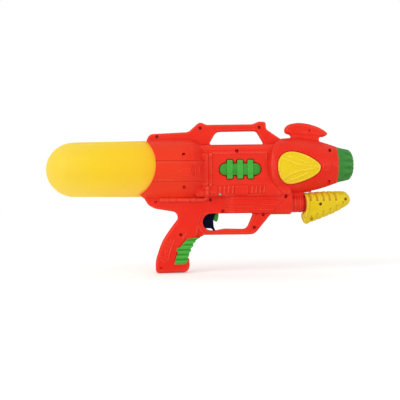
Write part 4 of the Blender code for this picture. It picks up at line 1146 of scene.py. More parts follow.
def make_halves(node: str, ending: str, mould: Mould, outer: HalfField, under: HalfField, finish: Finish,
                body: str) -> None:
    """Make the right and the left half of a piece.

    Args:
        node: Name of the nodes that the halves stand for, without the side.
        ending: End of the pieces' names.
        mould: Mould of both halves.
        outer: Height of the skin.
        under: Height of the underside.
        finish: Finish of the halves.
        body: Body that the halves move with.
    """
    for side in Side:
        name = f"{node}_{side.name.lower()}"
        half = mould.shell(lambda spots: outer(spots, side), lambda spots: under(spots, side), side)
        finished(f"{name}_{ending}", mesh_of(*half), finish, body, (name,))


@dataclass
class Slab:
    """Plate-like form with a rounded rim, openings with a smaller rounding, and perhaps a hollow and a slope."""

    corners: tuple[Corner, ...]
    half: float
    edge: float
    openings: tuple[tuple[Corner, ...], ...] = ()
    lip: float = 0.0
    fillet: float = 0.9
    hollow: float | None = None
    fade: Field = lambda spots: np.zeros(len(spots))

    def height(self, points: np.ndarray) -> np.ndarray:
        """Height of the form above the parting plane.

        Args:
            points: X and Z of the points.

        Returns:
            Heights, far below the plane outside the form.
        """
        depth = depth_in(points, filleted(self.corners))
        result = self.half - rounded_off(depth, self.edge)
        for opening in self.openings:
            result = result - rounded_off(-depth_in(points, filleted(opening)), self.lip)
        return np.where(depth > TOUCH, result, FAR) - self.fade(points)

    def lines(self) -> list[Line]:
        """Mesh lines round the rims.

        Returns:
            The mesh lines.
        """
        result = rims(self.corners, (-SKIRT,))
        for angle in np.radians(EDGE_ANGLES):
            share = 1.0 - math.cos(angle)
            result += rims(self.corners, (self.edge * share,))
            result += [rim for opening in self.openings for rim in rims(opening, (-self.lip * share,))]
        return result + rims(self.corners, (self.edge + EDGE_STRIP,))


@dataclass
class RoundForm:
    """Form turned about a line along X, cut off by an outline in side view."""

    axis_z: float
    reach: tuple[float, float]
    radius: Field
    columns: np.ndarray
    flatten: float = 1.0
    loop: np.ndarray = field(init=False)

    def __post_init__(self) -> None:
        """Work out the side outline."""
        x = self.columns
        size = self.radius(x)
        top = np.stack((x, self.axis_z + size), axis=1)
        low = np.stack((x, self.axis_z - size), axis=1)
        self.loop = np.concatenate((top, low[::-1]))

    def height(self, points: np.ndarray) -> np.ndarray:
        """Height of the form above the parting plane.

        Args:
            points: X and Z of the points.

        Returns:
            Heights, far below the plane outside the form.
        """
        size = self.radius(points[:, 0])
        square = size * size - (points[:, 1] - self.axis_z) ** 2
        x = points[:, 0]
        inside = (x >= self.reach[0] - END_SLACK) & (x <= self.reach[1] + END_SLACK) & (square > RIM_SLACK)
        return np.where(inside, self.flatten * np.sqrt(np.maximum(square, 0.0)), FAR)

    def lines(self, step: float) -> list[Line]:
        """Mesh lines along the form at even angles, across it, and round its outline.

        Args:
            step: Angle between neighbouring lines, in degrees.

        Returns:
            The mesh lines.
        """
        result: list[Line] = [(self.loop, True)]
        x = self.columns
        size = self.radius(x)
        for angle in np.radians(np.arange(-90.0 + step, 90.0, step)):
            result.append((np.stack((x, self.axis_z + size * math.sin(angle)), axis=1), False))
        spread = half_turn(step)
        for place, radius in zip(x, size):
            result.append((np.stack((np.full_like(spread, place), self.axis_z + radius * spread), axis=1), False))
        return result


@dataclass
class Housing:
    """Two moulded halves with the cup, carry handle, nose, fin, trigger window and grip."""

    spine: tuple[Corner, ...] = (
        (-83.2, 225.4, 10), (-17.4, 228.2, 12), (1.4, 244.9, 8), (11.5, 239.6, 10), (86, 239.7, 10), (97.2, 244.1, 6),
        (108.3, 243.5, 4), (108.5, 231.8, 6), (140, 209.8, 4), (140, 119, 4), (148.3, 115, 3), (148.3, 93.4, 3),
        (114.5, 93.4, 4), (88, 61.3, 15), (-16, 61.3, 4), (-36.2, 86, 6), (-36.4, 98.4, 9), (-73, 104.8, 12),
        (-83.4, 110.4, 13), (-93.2, 127, 3))
    grip: tuple[Corner, ...] = (
        (-72.2, 0, 6), (-72.4, 21, 40), (-61.7, 52.5, 70), (-47.8, 72.5, 80), (-36.2, 87.5, 9), (-32, 105, 6),
        (4, 105, 6), (-3, 60.4, 2), (-18.9, 30, 10), (-17.4, 9, 8), (-22, 1.7, 8.5))
    handle_window: tuple[Corner, ...] = ((27.8, 229.4, 11), (93.4, 229.8, 7), (106.6, 207.1, 3), (15, 207.1, 3))
    guard_window: tuple[Corner, ...] = (
        (4.6, 95.8, 13.8), (87.4, 95.8, 2.5), (75.9, 69.7, 10), (40, 70.7, 12), (25.5, 68.1, 8),
        (4.6, 67.3, 13.8))
    insert_cutout: tuple[Corner, ...] = INSERT_BACK + ((-18, 24, 0.5), (8, 50, 0.5))
    fin_neck: tuple[Corner, ...] = (
        (143, 226.5, 0.5), (147, 223.6, 2), (149.7, 221, 3), (149.7, 217.4, 3), (147.5, 215, 2), (145, 205, 0.5),
        (200, 200, 0.5), (199, 206.5, 2), (195, 211, 4), (194.6, 216, 4), (197.5, 219.2, 2), (200, 221.5, 0.5))
    fin_cap: tuple[Corner, ...] = (
        (139.3, 230.4, 3), (140.5, 235.0, 3), (144.3, 238.3, 4), (148.8, 239.9, 4), (155.3, 241.1, 8),
        (161.9, 241.6, 8), (170.2, 240.9, 8), (178.8, 239.2, 8), (187.2, 236.7, 8), (195.6, 233.3, 8),
        (202.6, 229.1, 8), (207.5, 225.2, 2.5), (208.6, 222.8, 1.2), (206, 220.2, 2), (202, 218.7, 2), (175, 221, 20),
        (147.6, 223.2, 8), (142.4, 224.7, 2.5), (139.7, 227, 2.5))
    keel: tuple[Corner, ...] = (
        (146, 121.5, 0.4), (168.8, 121.5, 0.4), (169.2, 127.4, 0.4), (170, 128.3, 0.6), (181, 129.1, 0.8),
        (182.4, 136, 0.5), (146, 136, 0.5))
    teardrop: tuple[Spot, ...] = (
        (124.6, 169.9), (126, 179.4), (130.8, 187.2), (138.3, 191.9), (147.8, 193), (158.8, 191.1), (171.4, 186.4),
        (182.6, 179.8), (190.2, 173.8), (192.6, 167.9), (189.8, 160.8), (180.9, 153.6), (167.6, 147.4), (154.8, 143.4),
        (143.9, 141.9), (135.7, 144.6), (129.2, 151.5), (125.8, 160.5))
    screws: tuple[Spot, ...] = (
        (-68.1, 220.8), (1.8, 233.9), (97.4, 234.2), (60, 195.7), (-24.5, 190.1), (-24, 138.5), (-71.2, 115.3),
        (17.4, 118), (37.2, 99.8), (138.5, 122.4), (102.1, 93.5), (87.9, 72.7), (-30.9, 62.3), (-63.1, 9.6),
        (178.1, 228.8), (209.2, 195.2), (207.8, 145.1))
    # Screws, counted from 1, whose holes get the lit copy of the steel: painted light.
    lit_screws: tuple[int, ...] = (5, 6, 7, 14, 15, 16, 17)
    sink_radius: float = 3.0
    sink_floor: float = 7.0
    cup_radius: float = 48.4
    cup_shoulder: float = 22.0
    cup_front: float = 6.0
    tank_z: float = TANK_Z
    scoop: tuple[float, float, float] = (-123.1, 174.6, 54.6)
    lip_cuts: tuple[tuple[Spot, ...], ...] = (
        ((-112, 126.2), (-95.2, 126.2), (-92.3, 123.4), (-88.6, 118.4), (-84, 112), (-84, 100), (-112, 100)),
        ((-112, 213), (-84.6, 213), (-84.6, 240), (-112, 240)))
    nose_z: float = NOSE_Z
    nose_points: tuple[Spot, ...] = (
        (104, 41.8), (112, 42.2), (122, 42.7), (137, 44.0), (152, 45), (165, 44.2), (178, 42.2),
        (189.6, 40.1), (199.3, 37.5), (209.1, 34.4), (218.9, 31.0), (222.5, 29.8))
    nose_arc: tuple[float, float] = (168.0, 58.0)
    nose_flatten: float = 0.95
    nose_rim: tuple[float, Spot, Spot] = (27.0, (9.5, 5.0), (5.5, 15.0))
    nose_bead: float = 53.6
    muzzle_x: float = 222.5
    wall: float = 2.4
    boss_radius: float = 4.02
    pin_hole: Spot = (2.35, 1.6)
    trigger_slots: tuple[tuple[Spot, Spot], ...] = (((-6, 91.8), (33.5, 99)), ((-6, 70.2), (20, 94.8)))
    slot_half: float = 6.3
    sleeve_bore: Spot = (140.0, 14.9)
    tube_bore: Spot = (210.0, 5.3)
    grid_gap: float = 2.6

    def __post_init__(self) -> None:
        """Work out the forms, the outlines and the moulded details."""
        self.nose_curve = spline(self.nose_points, 12, closed=False)
        front = self.cup_front
        turn = np.sin(np.radians(np.arange(0.0, 90.1, 7.5)))
        cup_columns = np.concatenate((np.arange(-104.0, front - self.cup_shoulder - 1.0, 6.0),
                                      front - self.cup_shoulder + self.cup_shoulder * turn))
        self.cup = RoundForm(self.tank_z, (-140.0, front), self.cup_size, cup_columns)
        self.nose = RoundForm(self.nose_z, (self.nose_arc[0] - self.nose_arc[1], self.muzzle_x), self.nose_size,
                              np.concatenate((np.arange(106.0, 222.0, 4.0), (self.muzzle_x,))), self.nose_flatten)
        windows = (self.handle_window, self.guard_window)
        self.body = Slab(rectangle((-8, 123), (132, 206.6), 6), 27, 8, hollow=24.6)
        # From the carry handle and the grip to the fin, the keel, the bars beside the cup and the guard's web.
        self.slabs = [
            Slab(self.spine, 13, 3.5, windows, 2.0, hollow=10.6),
            Slab(self.grip, 17, 5, (self.insert_cutout,), 0.7, hollow=14.6,
                 fade=lambda spots: 5.0 * eased((spots[:, 1] - 58.0) / 34.0)),
            self.body,
            Slab(rectangle((33.5, 96.2), (149.2, 133), 4), 20, 4, (self.guard_window,), 1.0, hollow=17.6,
                 fade=lambda spots: 8.2 * (1.0 - eased((spots[:, 0] - 34.0) / 20.0))),
            Slab(self.fin_neck, 9.5, 3, fillet=3.0),
            Slab(self.fin_cap, 11, 5, fillet=4.0),
            Slab(self.keel, 9, 1.2),
            Slab(rectangle((-40, 149), (15.5, 179), 3), 36.5, 4, fillet=2.0,
                 fade=lambda spots: 8.0 * eased(spots[:, 0] / 14.0)),
            Slab(rectangle((98, 124), (147.5, 143), 6), 25.5, 7, fillet=3.0),
            Slab(rectangle((-14, 140), (15.4, 193), 5), 31.5, 5, fillet=2.0),
            Slab(((-8, 66, 1), (13, 61.5, 2), (3.7, 59.5, 3), (-8, 54, 2)), 13, 3, fillet=2.5),
        ]
        self.hollow_slabs = [slab for slab in self.slabs if slab.hollow]
        turn = np.radians(np.arange(90.0, 270.1, 3.0))
        spokes = np.stack((np.cos(turn), np.sin(turn)), axis=1)
        middle = np.array((self.nose_arc[0], self.nose_z))
        front_edge = np.array(((280.0, self.nose_z - self.nose_arc[1]), (280.0, self.nose_z + self.nose_arc[1])))
        self.arc = np.concatenate((middle + self.nose_arc[1] * spokes, front_edge))
        self.arc_lines = [(middle + (self.nose_arc[1] - inset) * spokes, False)
                          for inset in (-SKIRT, 0.0, 1.2, 2.6, 4.2, 6.0, 8.0, 9.8, 11.0, 12.0)]
        self.mouth = circle(self.scoop[:2], self.scoop[2], 150)
        self.insert_cut = filleted(self.insert_cutout, -0.12)
        self.openings = [*(filleted(corners) for corners in windows), self.insert_cut]
        self.lips = [np.array(corners, float) for corners in self.lip_cuts]
        self.marks = self.moulded_details()

    def cup_size(self, x: np.ndarray) -> np.ndarray:
        """Radius of the cup."""
        run = np.clip((x - self.cup_front + self.cup_shoulder) / self.cup_shoulder, 0.0, 1.0)
        return self.cup_radius - self.cup_shoulder * (1.0 - np.sqrt(1.0 - run * run))

    def nose_size(self, x: np.ndarray) -> np.ndarray:
        """Radius of the nose."""
        return np.interp(x, self.nose_curve[:, 0], self.nose_curve[:, 1])

    def rim_depth(self, points: np.ndarray) -> np.ndarray:
        """Distance inwards from the rear rim of the nose."""
        return depth_in(points, self.arc, 4.0)

    def nose_height(self, points: np.ndarray) -> np.ndarray:
        """Height of the nose, with its rim sloping down to the body behind it.

        Args:
            points: X and Z of the points.

        Returns:
            Heights above the parting plane.
        """
        depth = self.rim_depth(points)
        foot, (rise, width), (swell, reach) = self.nose_rim
        slope = foot + rise * np.sin(np.clip(depth / width, 0.0, 1.0) * math.pi / 2) + swell * eased(depth / reach)
        return np.where(depth > TOUCH, np.minimum(self.nose.height(points), slope), FAR)

    def contains(self, points: np.ndarray) -> np.ndarray:
        """Mask of the points inside the side outline of the housing.

        Args:
            points: X and Z of the points.

        Returns:
            True for each point inside.
        """
        result = np.zeros(len(points), bool)
        for slab in self.slabs:
            result |= is_inside(points, filleted(slab.corners))
        result |= is_inside(points, self.cup.loop)
        result |= is_inside(points, self.nose.loop) & is_inside(points, self.arc)
        for loop in (*self.openings, self.mouth, *self.lips):
            result &= ~is_inside(points, loop)
        return result

    def moulded_details(self) -> list[Mark]:
        """Raised and sunk details of the skin.

        Returns:
            The details, in the order in which they are added.
        """
        marks: list[Mark] = []

        def patch(height: float, *outlines: Sequence[Corner], ramp: float = 0.7) -> None:
            """Add a flat detail."""
            marks.append(Patch([densified(filleted(outline), 3.0) for outline in outlines], height, ramp))

        def ridge(width: float, height: float, *spots: Spot, is_round: bool = False, smooth: bool = True) -> None:
            """Add a bead or groove."""
            line = spline(spots, 6, closed=False) if smooth and len(spots) > 2 else np.array(spots, float)
            marks.append(Ridge(densified(line, 2.0, closed=False), width, height, is_round))

        # Cup: a groove and a bead along each edge of its panel, a plate and the bars in front of it.
        ridge(1.9, -1.2, (-69, 180.6), (-30.9, 180.2), (9, 180.3))
        ridge(1.9, -1.2, (-74, 147.3), (-31, 146.9), (11, 146.8))
        ridge(1.7, 0.6, (-66, 177.5), (-30.9, 177.1), (6, 177.2), is_round=True)
        ridge(1.7, 0.6, (-70, 150.0), (-31, 149.6), (8, 149.5), is_round=True)
        patch(0.5, ((-36, 162, 1), (-24, 168.5, 1), (-10, 168.5, 1), (-10, 155.5, 1), (-24, 155.5, 1)))
        ridge(2.8, 2.2, (-6.4, 155.5), (-6.4, 173.5))
        ridge(2.2, 1.6, (-11.6, 175), (-13, 170), (-13.2, 163), (-12.2, 157))
        ridge(1.4, -0.9, (-9.7, 158), (-9.7, 172))
        ridge(2.4, 1.1, (0.5, 157), (0.5, 171))
        ridge(2.0, 0.8, (-16, 153.2), (-2, 153), (4, 153))
        # Round bar in front of the cup, with two blocks at its foot.
        ridge(5.6, 3.0, (18, 141.5), (18, 190.5), is_round=True)
        ridge(0.9, -0.7, (18, 143), (18, 189.3))
        patch(1.6, rectangle((4.6, 134.4), (15.8, 140.3), 1.5))
        patch(1.2, rectangle((14.9, 127.8), (27.1, 140.2), 2))
        # Pipe under the cup with two clamps, and the bead over the shoulder of the cup.
        ridge(7.2, 4.2, (-62, 118.8), (-20, 118.5), (3, 118.2), (8.5, 119.8), (11.6, 124), (12.1, 130), (12.1, 136),
              is_round=True)
        patch(1.6, rectangle((-47.8, 113.6), (-38.1, 123.6), 1.5))
        patch(1.6, rectangle((-14.8, 113.4), (-6, 123.4), 1.5))
        ridge(3.0, 1.1, (-15.5, 208.7), (-5.9, 207.5), (3.7, 204), (9.6, 196.5), (11, 190))
        # Body: a panel with beads along its top and front, and a sunk strip with a block and ribs below it.
        patch(0.6, rectangle((21.2, 142.3), (108.7, 193.6), 2.5))
        for start, end in ((22.6, 37.4), (41.6, 57), (64, 86.2), (90.2, 107.2)):
            ridge(4.4, 1.5, (start, 192.9), (end, 192.9), is_round=True)
        ridge(3.2, 1.2, (107.6, 190.5), (107.6, 183), is_round=True)
        patch(-0.6, rectangle((28, 126.2), (107, 141.2), 2))
        patch(2.3, rectangle((57.2, 125.4), (77.2, 140.4), 1.5), ramp=1.2)
        for x in (33.0, 39.6, 46.4, 53.4, 84.1, 90.6, 97.0, 103.4):
            ridge(2.8, 1.9, (x - 0.5, 129.4), (x + 0.4, 138.8), is_round=True)
        # Pump block: a sunk panel with beads, the strut across it, and the arch in front of that.
        patch(-0.9, ((47, 118.8, 2), (128, 117.6, 2), (122, 98.5, 2), (36.2, 98.9, 2)))
        for start, end in (((42.6, 111.6), (99, 110.9)), ((40.2, 106.3), (98, 105.6)), ((38.4, 101.6), (96, 100.9))):
            ridge(2.2, 0.9, start, end)
        patch(1.3, ((85.5, 75.6, 1), (106, 124.6, 1), (138.5, 124.9, 1), (112.8, 93.6, 1), (96, 74, 1)), ramp=0.9)
        for start, end in (((101.5, 118.5), (132, 118.1)), ((98, 109.9), (124.5, 109.6)),
                           ((95, 101.7), (117.5, 101.5))):
            ridge(2.4, 0.7, start, end)
        ridge(1.8, 0.8, (131, 98.8), (131, 109), (133, 113.5), (136.5, 115.3), (140, 113.5), (142, 109), (142, 98.8))
        # Trigger guard and grip: the web behind the window, beads, and grooves beside the insert.
        patch(0.9, ((18, 100.5, 3), (4, 96.4, 6), (-2.6, 88, 8), (-2.6, 79, 8), (4, 68.5, 8), (12, 62.4, 4),
                    (18, 61.9, 1), (18, 80, 1)))
        ridge(2.6, 1.2, (-41.7, 53.8), (-47.4, 39.4), (-52, 22.2), is_round=True)
        ridge(2.6, 1.4, (2.6, 95.5), (-1.1, 87.4), (-2.4, 79), (0.8, 70.2), (5, 65.6), (10.4, 62.8), is_round=True)
        ridge(2.2, -2.0, (-23.4, 55.2), (-28.4, 49.4), (-33.8, 43.4))
        ridge(2.0, -2.0, (-37.2, 34.6), (-39.2, 28), (-41.3, 21))
        ridge(2.2, 1.0, (-22, 64.5), (-27.7, 56.2), is_round=True)
        # Nose: a tab with a slot, a groove and dimples, and the bead along its rear rim.
        patch(1.0, rectangle((196, 162.2), (210.4, 174.2), 1.5), ramp=1.2)
        patch(-0.9, rectangle((197.8, 164.6), (202.4, 168.8), 0.6), ramp=0.8)
        ridge(1.4, -0.6, (212, 179.1), (212.6, 167), (212.7, 155.3))
        for spot in ((150.8, 199.7), (181.2, 141.9), (161.7, 137.2)):
            marks.append(Dimple(spot, 2.0, 0.7))
        marks.append(Dimple(TRIGGER_PIN, 3.2, 0.5))
        turn = np.radians(np.arange(126.0, 236.0, 3.0))
        bead = np.stack((np.cos(turn), np.sin(turn)), axis=1) * self.nose_bead
        marks.append(Ridge(bead + (self.nose_arc[0], self.nose_z), 6.6, 1.1, True))
        # Pockets of the nose inlay and of the side insert.
        marks.append(Patch([moved_in(spline(self.teardrop, 6, closed=True), -1.7)], -2.4, 0.4))
        marks.append(Patch([filleted(outline, -1.6) for outline in SideInsert().outlines()], -5.4, 0.4))
        return marks

    def outer(self, points: np.ndarray, side: Side) -> np.ndarray:
        """Height of the skin.

        Args:
            points: X and Z of the points.
            side: Half of the housing; only the right one has the sunk screw holes.

        Returns:
            Heights above the parting plane.
        """
        height = np.full(len(points), FAR)
        behind = self.rim_depth(points) < TOUCH
        for slab in self.slabs:
            rise = slab.height(points)
            height = soft_max(height, np.where(behind, rise, FAR) if slab is self.body else rise, slab.fillet)
        height = soft_max(height, self.cup.height(points), 8.0)
        height = soft_max(height, self.nose_height(points), 3.5)
        for mark in self.marks:
            height = height + mark.rise(points)
        radius, depth = self.pin_hole
        height = np.where(np.linalg.norm(points - TRIGGER_PIN, axis=1) < radius, height - depth, height)
        if side is Side.RIGHT:
            height = sunk_holes(height, points, self.screws, self.sink_radius, self.sink_floor)
        return np.maximum(height, LEAST)

    def under(self, points: np.ndarray, side: Side) -> np.ndarray:
        """Height of the hollow below the skin.

        Args:
            points: X and Z of the points.
            side: Half of the housing.

        Returns:
            Heights above the parting plane.
        """
        wall = self.wall
        x, z = points.T
        height = np.full(len(points), PARTING)
        for slab in self.hollow_slabs:
            inside = depth_in(points, filleted(slab.corners, wall)) > TOUCH
            height = np.where(inside, np.maximum(height, slab.hollow), height)
        for loop in self.openings:
            height = np.where(depth_in(points, loop) > -wall - TOUCH, PARTING, height)
        hollow = round_height(self.cup_size(x + wall) - wall, z - self.tank_z)
        height = np.maximum(height, np.where(x < self.cup_front - 2 * wall, hollow, 0.0))
        hollow = self.nose_flatten * round_height(self.nose_size(x) - wall, z - self.nose_z)
        inside = (self.rim_depth(points) > wall) & (x < self.muzzle_x - wall)
        height = np.where(inside, np.maximum(height, hollow), height)
        for spot in self.screws:
            height = np.where(np.linalg.norm(points - spot, axis=1) < self.boss_radius, PARTING, height)
        for low, high in self.trigger_slots:
            inside = ((points > low) & (points < high)).all(1)
            height = np.where(inside, np.maximum(height, self.slot_half), height)
        for (start, radius), axis in ((self.sleeve_bore, PUMP_Z), (self.tube_bore, self.nose_z)):
            height = np.where(x > start, np.maximum(height, round_height(radius, z - axis)), height)
        return np.maximum(np.minimum(height, self.outer(points, side) - SKIN), PARTING)

    def skin_lines(self) -> list[Line]:
        """Mesh lines of the skin.

        Returns:
            The mesh lines.
        """
        lines = [line for slab in self.slabs for line in slab.lines()]
        lines += self.cup.lines(5.0) + self.nose.lines(5.0) + self.arc_lines
        lines += [(self.mouth, True), (self.insert_cut, True)]
        lines += [(densified(loop, 2.0), True) for loop in self.lips]
        lines += lines_of(self.marks)
        lines += rings(self.screws, self.sink_radius, HOLE_RINGS, 22)
        return lines + rings((TRIGGER_PIN,), self.pin_hole[0], (0.25, 0.05, -0.07), 18)

    def hollow_lines(self) -> list[Line]:
        """Mesh lines of the underside.

        Returns:
            The mesh lines.
        """
        wall = self.wall
        lines = [rim for slab in self.hollow_slabs for rim in rims(slab.corners, (wall - SKIRT, wall))]
        for corners in (self.handle_window, self.guard_window, self.insert_cutout):
            lines += rims(corners, (-wall, -wall - SKIRT))
        for low, high in self.trigger_slots:
            lines += rims(rectangle(low, high, 0.1), (0.05, -0.15))
        start, sleeve = self.sleeve_bore
        lines += [ruled((x, 92.0), (x, 132.0)) for x in (start, start + 0.2)]
        for spread in half_turn(15.0):
            z = PUMP_Z + sleeve * spread
            lines.append(ruled((139.0, z), (149.0, z)))
            z = self.nose_z + self.tube_bore[1] * spread
            lines.append(ruled((209.0, z), (223.0, z)))
        lines += rings(self.screws, self.boss_radius, (-0.12, 0.13), 12)
        end = self.cup_front - 2 * wall
        lines += [ruled((x, 135.0), (x, 204.0)) for x in (end - SKIRT, end)]
        x = np.arange(-110.0, self.cup_front - wall, 6.0)
        size = self.cup_size(x + wall) - wall
        lines += [(np.stack((x, self.tank_z + size * spread), axis=1), False) for spread in half_turn(10.0)]
        x = np.arange(116.0, self.muzzle_x - wall, 8.0)
        size = self.nose_size(x) - wall
        lines += [(np.stack((x, self.nose_z + size * spread), axis=1), False) for spread in half_turn(10.0)]
        return lines + rings(((self.nose_arc[0], self.nose_z),), self.nose_arc[1], (SKIRT - wall, -wall), 60)

    def build(self) -> None:
        """Make both halves."""
        spots = grid((-104.0, 0.5), (224.0, 246.0), self.grid_gap, self.grid_gap / 2)
        mould = Mould(self.contains, self.skin_lines(), self.hollow_lines(), spots[self.contains(spots)])
        make_halves("housing", "shell", mould, self.outer, self.under, Finish.RED, "housing")


@dataclass
class SideInsert:
    """Green capsule with three straps across it, in each side of the body."""

    centre: Spot = (65.1, 166.5)
    length: float = 65.4
    height: float = 18.5
    pitch: float = 16.5
    strap: Spot = (8.8, 29.6)
    floor: float = 25.8
    crest: float = 4.4
    rib_pitch: float = 1.66
    rib_height: float = 0.50
    body_rise: float = 0.7
    strap_rise: Spot = (4.4, 2.1)
    strap_edge: float = 0.6
    back: float = 22.4

    def capsule(self) -> tuple[Corner, ...]:
        """Corners of the capsule.

        Returns:
            X, Z and fillet radius of each corner.
        """
        x, z = self.centre
        half = self.height / 2
        return rectangle((x - self.length / 2, z - half), (x + self.length / 2, z + half), half * 0.98)

    def straps(self) -> list[tuple[Corner, ...]]:
        """Corners of each strap.

        Returns:
            X, Z and fillet radius of the corners, strap by strap.
        """
        x, z = self.centre
        wide, tall = self.strap[0] / 2, self.strap[1] / 2
        return [rectangle((x + k * self.pitch - wide, z - tall), (x + k * self.pitch + wide, z + tall), 1.2)
                for k in (-1, 0, 1)]

    def outlines(self) -> list[tuple[Corner, ...]]:
        """Corners of the capsule and of the straps."""
        return [self.capsule(), *self.straps()]

    def outer(self, points: np.ndarray) -> np.ndarray:
        """Height of the skin above the parting plane.

        Args:
            points: X and Z of the points.

        Returns:
            Heights above the parting plane.
        """
        x, _ = self.centre
        half = self.height / 2
        depth = depth_in(points, filleted(self.capsule()))
        dome = self.crest * np.sqrt(np.clip(1.0 - (1.0 - np.clip(depth / half, 0.0, 1.0)) ** 2, 0.0, 1.0))
        rib = np.cos((points[:, 0] - x) * 2 * math.pi / self.rib_pitch) * eased(depth / 1.4)
        body = np.where(depth > TOUCH, self.floor + self.body_rise + dome + self.rib_height * rib, FAR)
        flat, domed = self.strap_rise
        for corners in self.straps():
            inside = depth_in(points, filleted(corners))
            top = np.maximum(self.floor + flat, self.floor + domed + np.where(depth > 0.0, dome, 0.0))
            body = np.maximum(body, np.where(inside > TOUCH, top - rounded_off(inside, self.strap_edge), FAR))
        return body

    def build(self) -> None:
        """Make the insert of each side."""
        loops = [filleted(corners) for corners in self.outlines()]
        lines: list[Line] = []
        for corners in self.outlines():
            lines += rims(corners, (-SKIRT, 0.0, 0.18, 0.36, 0.6, 1.2, 2.4, 4.5, 7.0))
        x, z = self.centre
        rows = np.linspace(z - self.height / 2 + 0.3, z + self.height / 2 - 0.3, 15)
        for k in range(int(self.length / self.rib_pitch * 4)):
            place = x - self.length / 2 + (k + 0.5) * self.rib_pitch / 4
            lines.append((np.stack((np.full_like(rows, place), rows), axis=1), False))
        mould = Mould(lambda spots: np.any([is_inside(spots, loop) for loop in loops], axis=0), lines)
        make_halves("side_insert", "ribbed", mould, lambda spots, _: self.outer(spots),
                    lambda spots, _: np.full(len(spots), self.back), Finish.GREEN, "housing")


@dataclass
class NoseInlay:
    """Yellow leaf-shaped inlay in each side of the nose."""

    housing: Housing
    proud: float = 0.7
    sunk: float = 2.3
    edge: float = 0.6
    vein_size: Spot = (5.2, 1.0)
    rim_size: Spot = (3.0, 1.1)
    rim_inset: float = 1.9
    veins: tuple[tuple[Spot, ...], ...] = (
        ((134.3, 182.3), (145, 177.5), (155, 172.9), (166, 171), (177.3, 170.2), (187, 168.6)),
        ((133.4, 149.8), (140, 154.5), (147.3, 158.7), (157, 162), (167.8, 164), (183, 166.6)),
        ((142.6, 185.6), (153, 182.3), (163, 178.2), (172, 174.6)),
        ((140.1, 146.3), (149, 149.6), (158.7, 153.1), (170, 158.4)))

    def build(self) -> None:
        """Make the inlay of each side."""
        loop = spline(self.housing.teardrop, 8, closed=True)
        veins = [Ridge(spline(vein, 8, closed=False), *self.vein_size) for vein in self.veins]
        rim = moved_in(loop, self.rim_inset)
        veins.append(Ridge(np.concatenate((rim, rim[:1])), *self.rim_size))
        lines: list[Line] = [(moved_in(loop, inset), True) for inset in (0.0, 0.22, 0.6, 6.0, 10.0)]
        lines += lines_of(veins) + self.housing.nose.lines(4.0)[1:]
        mould = Mould(lambda spots: is_inside(spots, loop), lines)

        def outer(spots: np.ndarray, _: Side) -> np.ndarray:
            """Height of the skin."""
            height = self.housing.nose.height(spots) + self.proud - rounded_off(depth_in(spots, loop), self.edge)
            return height + np.sum([vein.rise(spots) for vein in veins], axis=0)

        def under(spots: np.ndarray, _: Side) -> np.ndarray:
            """Height of the back face."""
            return self.housing.nose.height(spots) - self.sunk

        make_halves("nose_inlay", "leaf", mould, outer, under, Finish.YELLOW, "housing")


@dataclass
class GripInsert:
    """Green finger insert that fills the front of the grip."""

    teeth: tuple[Corner, ...] = (
        (-19.6, 20.2, 0.8), (-21.0, 23.9, 0.5), (-17.9, 28.2, 0.8), (-19.2, 31.6, 0.5), (-14.8, 35.8, 0.8),
        (-16.3, 39.2, 0.5), (-11.0, 43.8, 0.8), (-12.2, 47.0, 0.5), (-7.2, 50.8, 0.8), (-8.0, 52.2, 0.5),
        (-4.6, 54.8, 2))
    half: float = 18.4
    edge: float = 1.0
    valleys: tuple[float, ...] = (53.2, 45.8, 37.8, 30.2, 22.4)
    valley_width: float = 6.0
    valley_depth: float = 1.8

    def build(self) -> None:
        """Make the insert."""
        corners = INSERT_BACK + self.teeth
        loop = filleted(corners)
        marks: list[Mark] = []
        for z in self.valleys:
            path = densified(np.array(((-44.0, z - 0.6), (6.0, z + 0.9))), 1.5, False)
            marks.append(Ridge(path, self.valley_width, -self.valley_depth))
        lines = rims(corners, (0.0, 0.1, 0.3, 0.6, 1.0, 1.4)) + lines_of(marks)
        mould = Mould(lambda spots: is_inside(spots, loop), lines)

        def outer(spots: np.ndarray) -> np.ndarray:
            """Height of the skin."""
            rise = np.sum([mark.rise(spots) for mark in marks], axis=0)
            return self.half - rounded_off(depth_in(spots, loop), self.edge) + rise

        finished("grip_insert_toothed", mesh_of(*mould.slab(outer)), Finish.GREEN, "housing", ("grip_insert",))


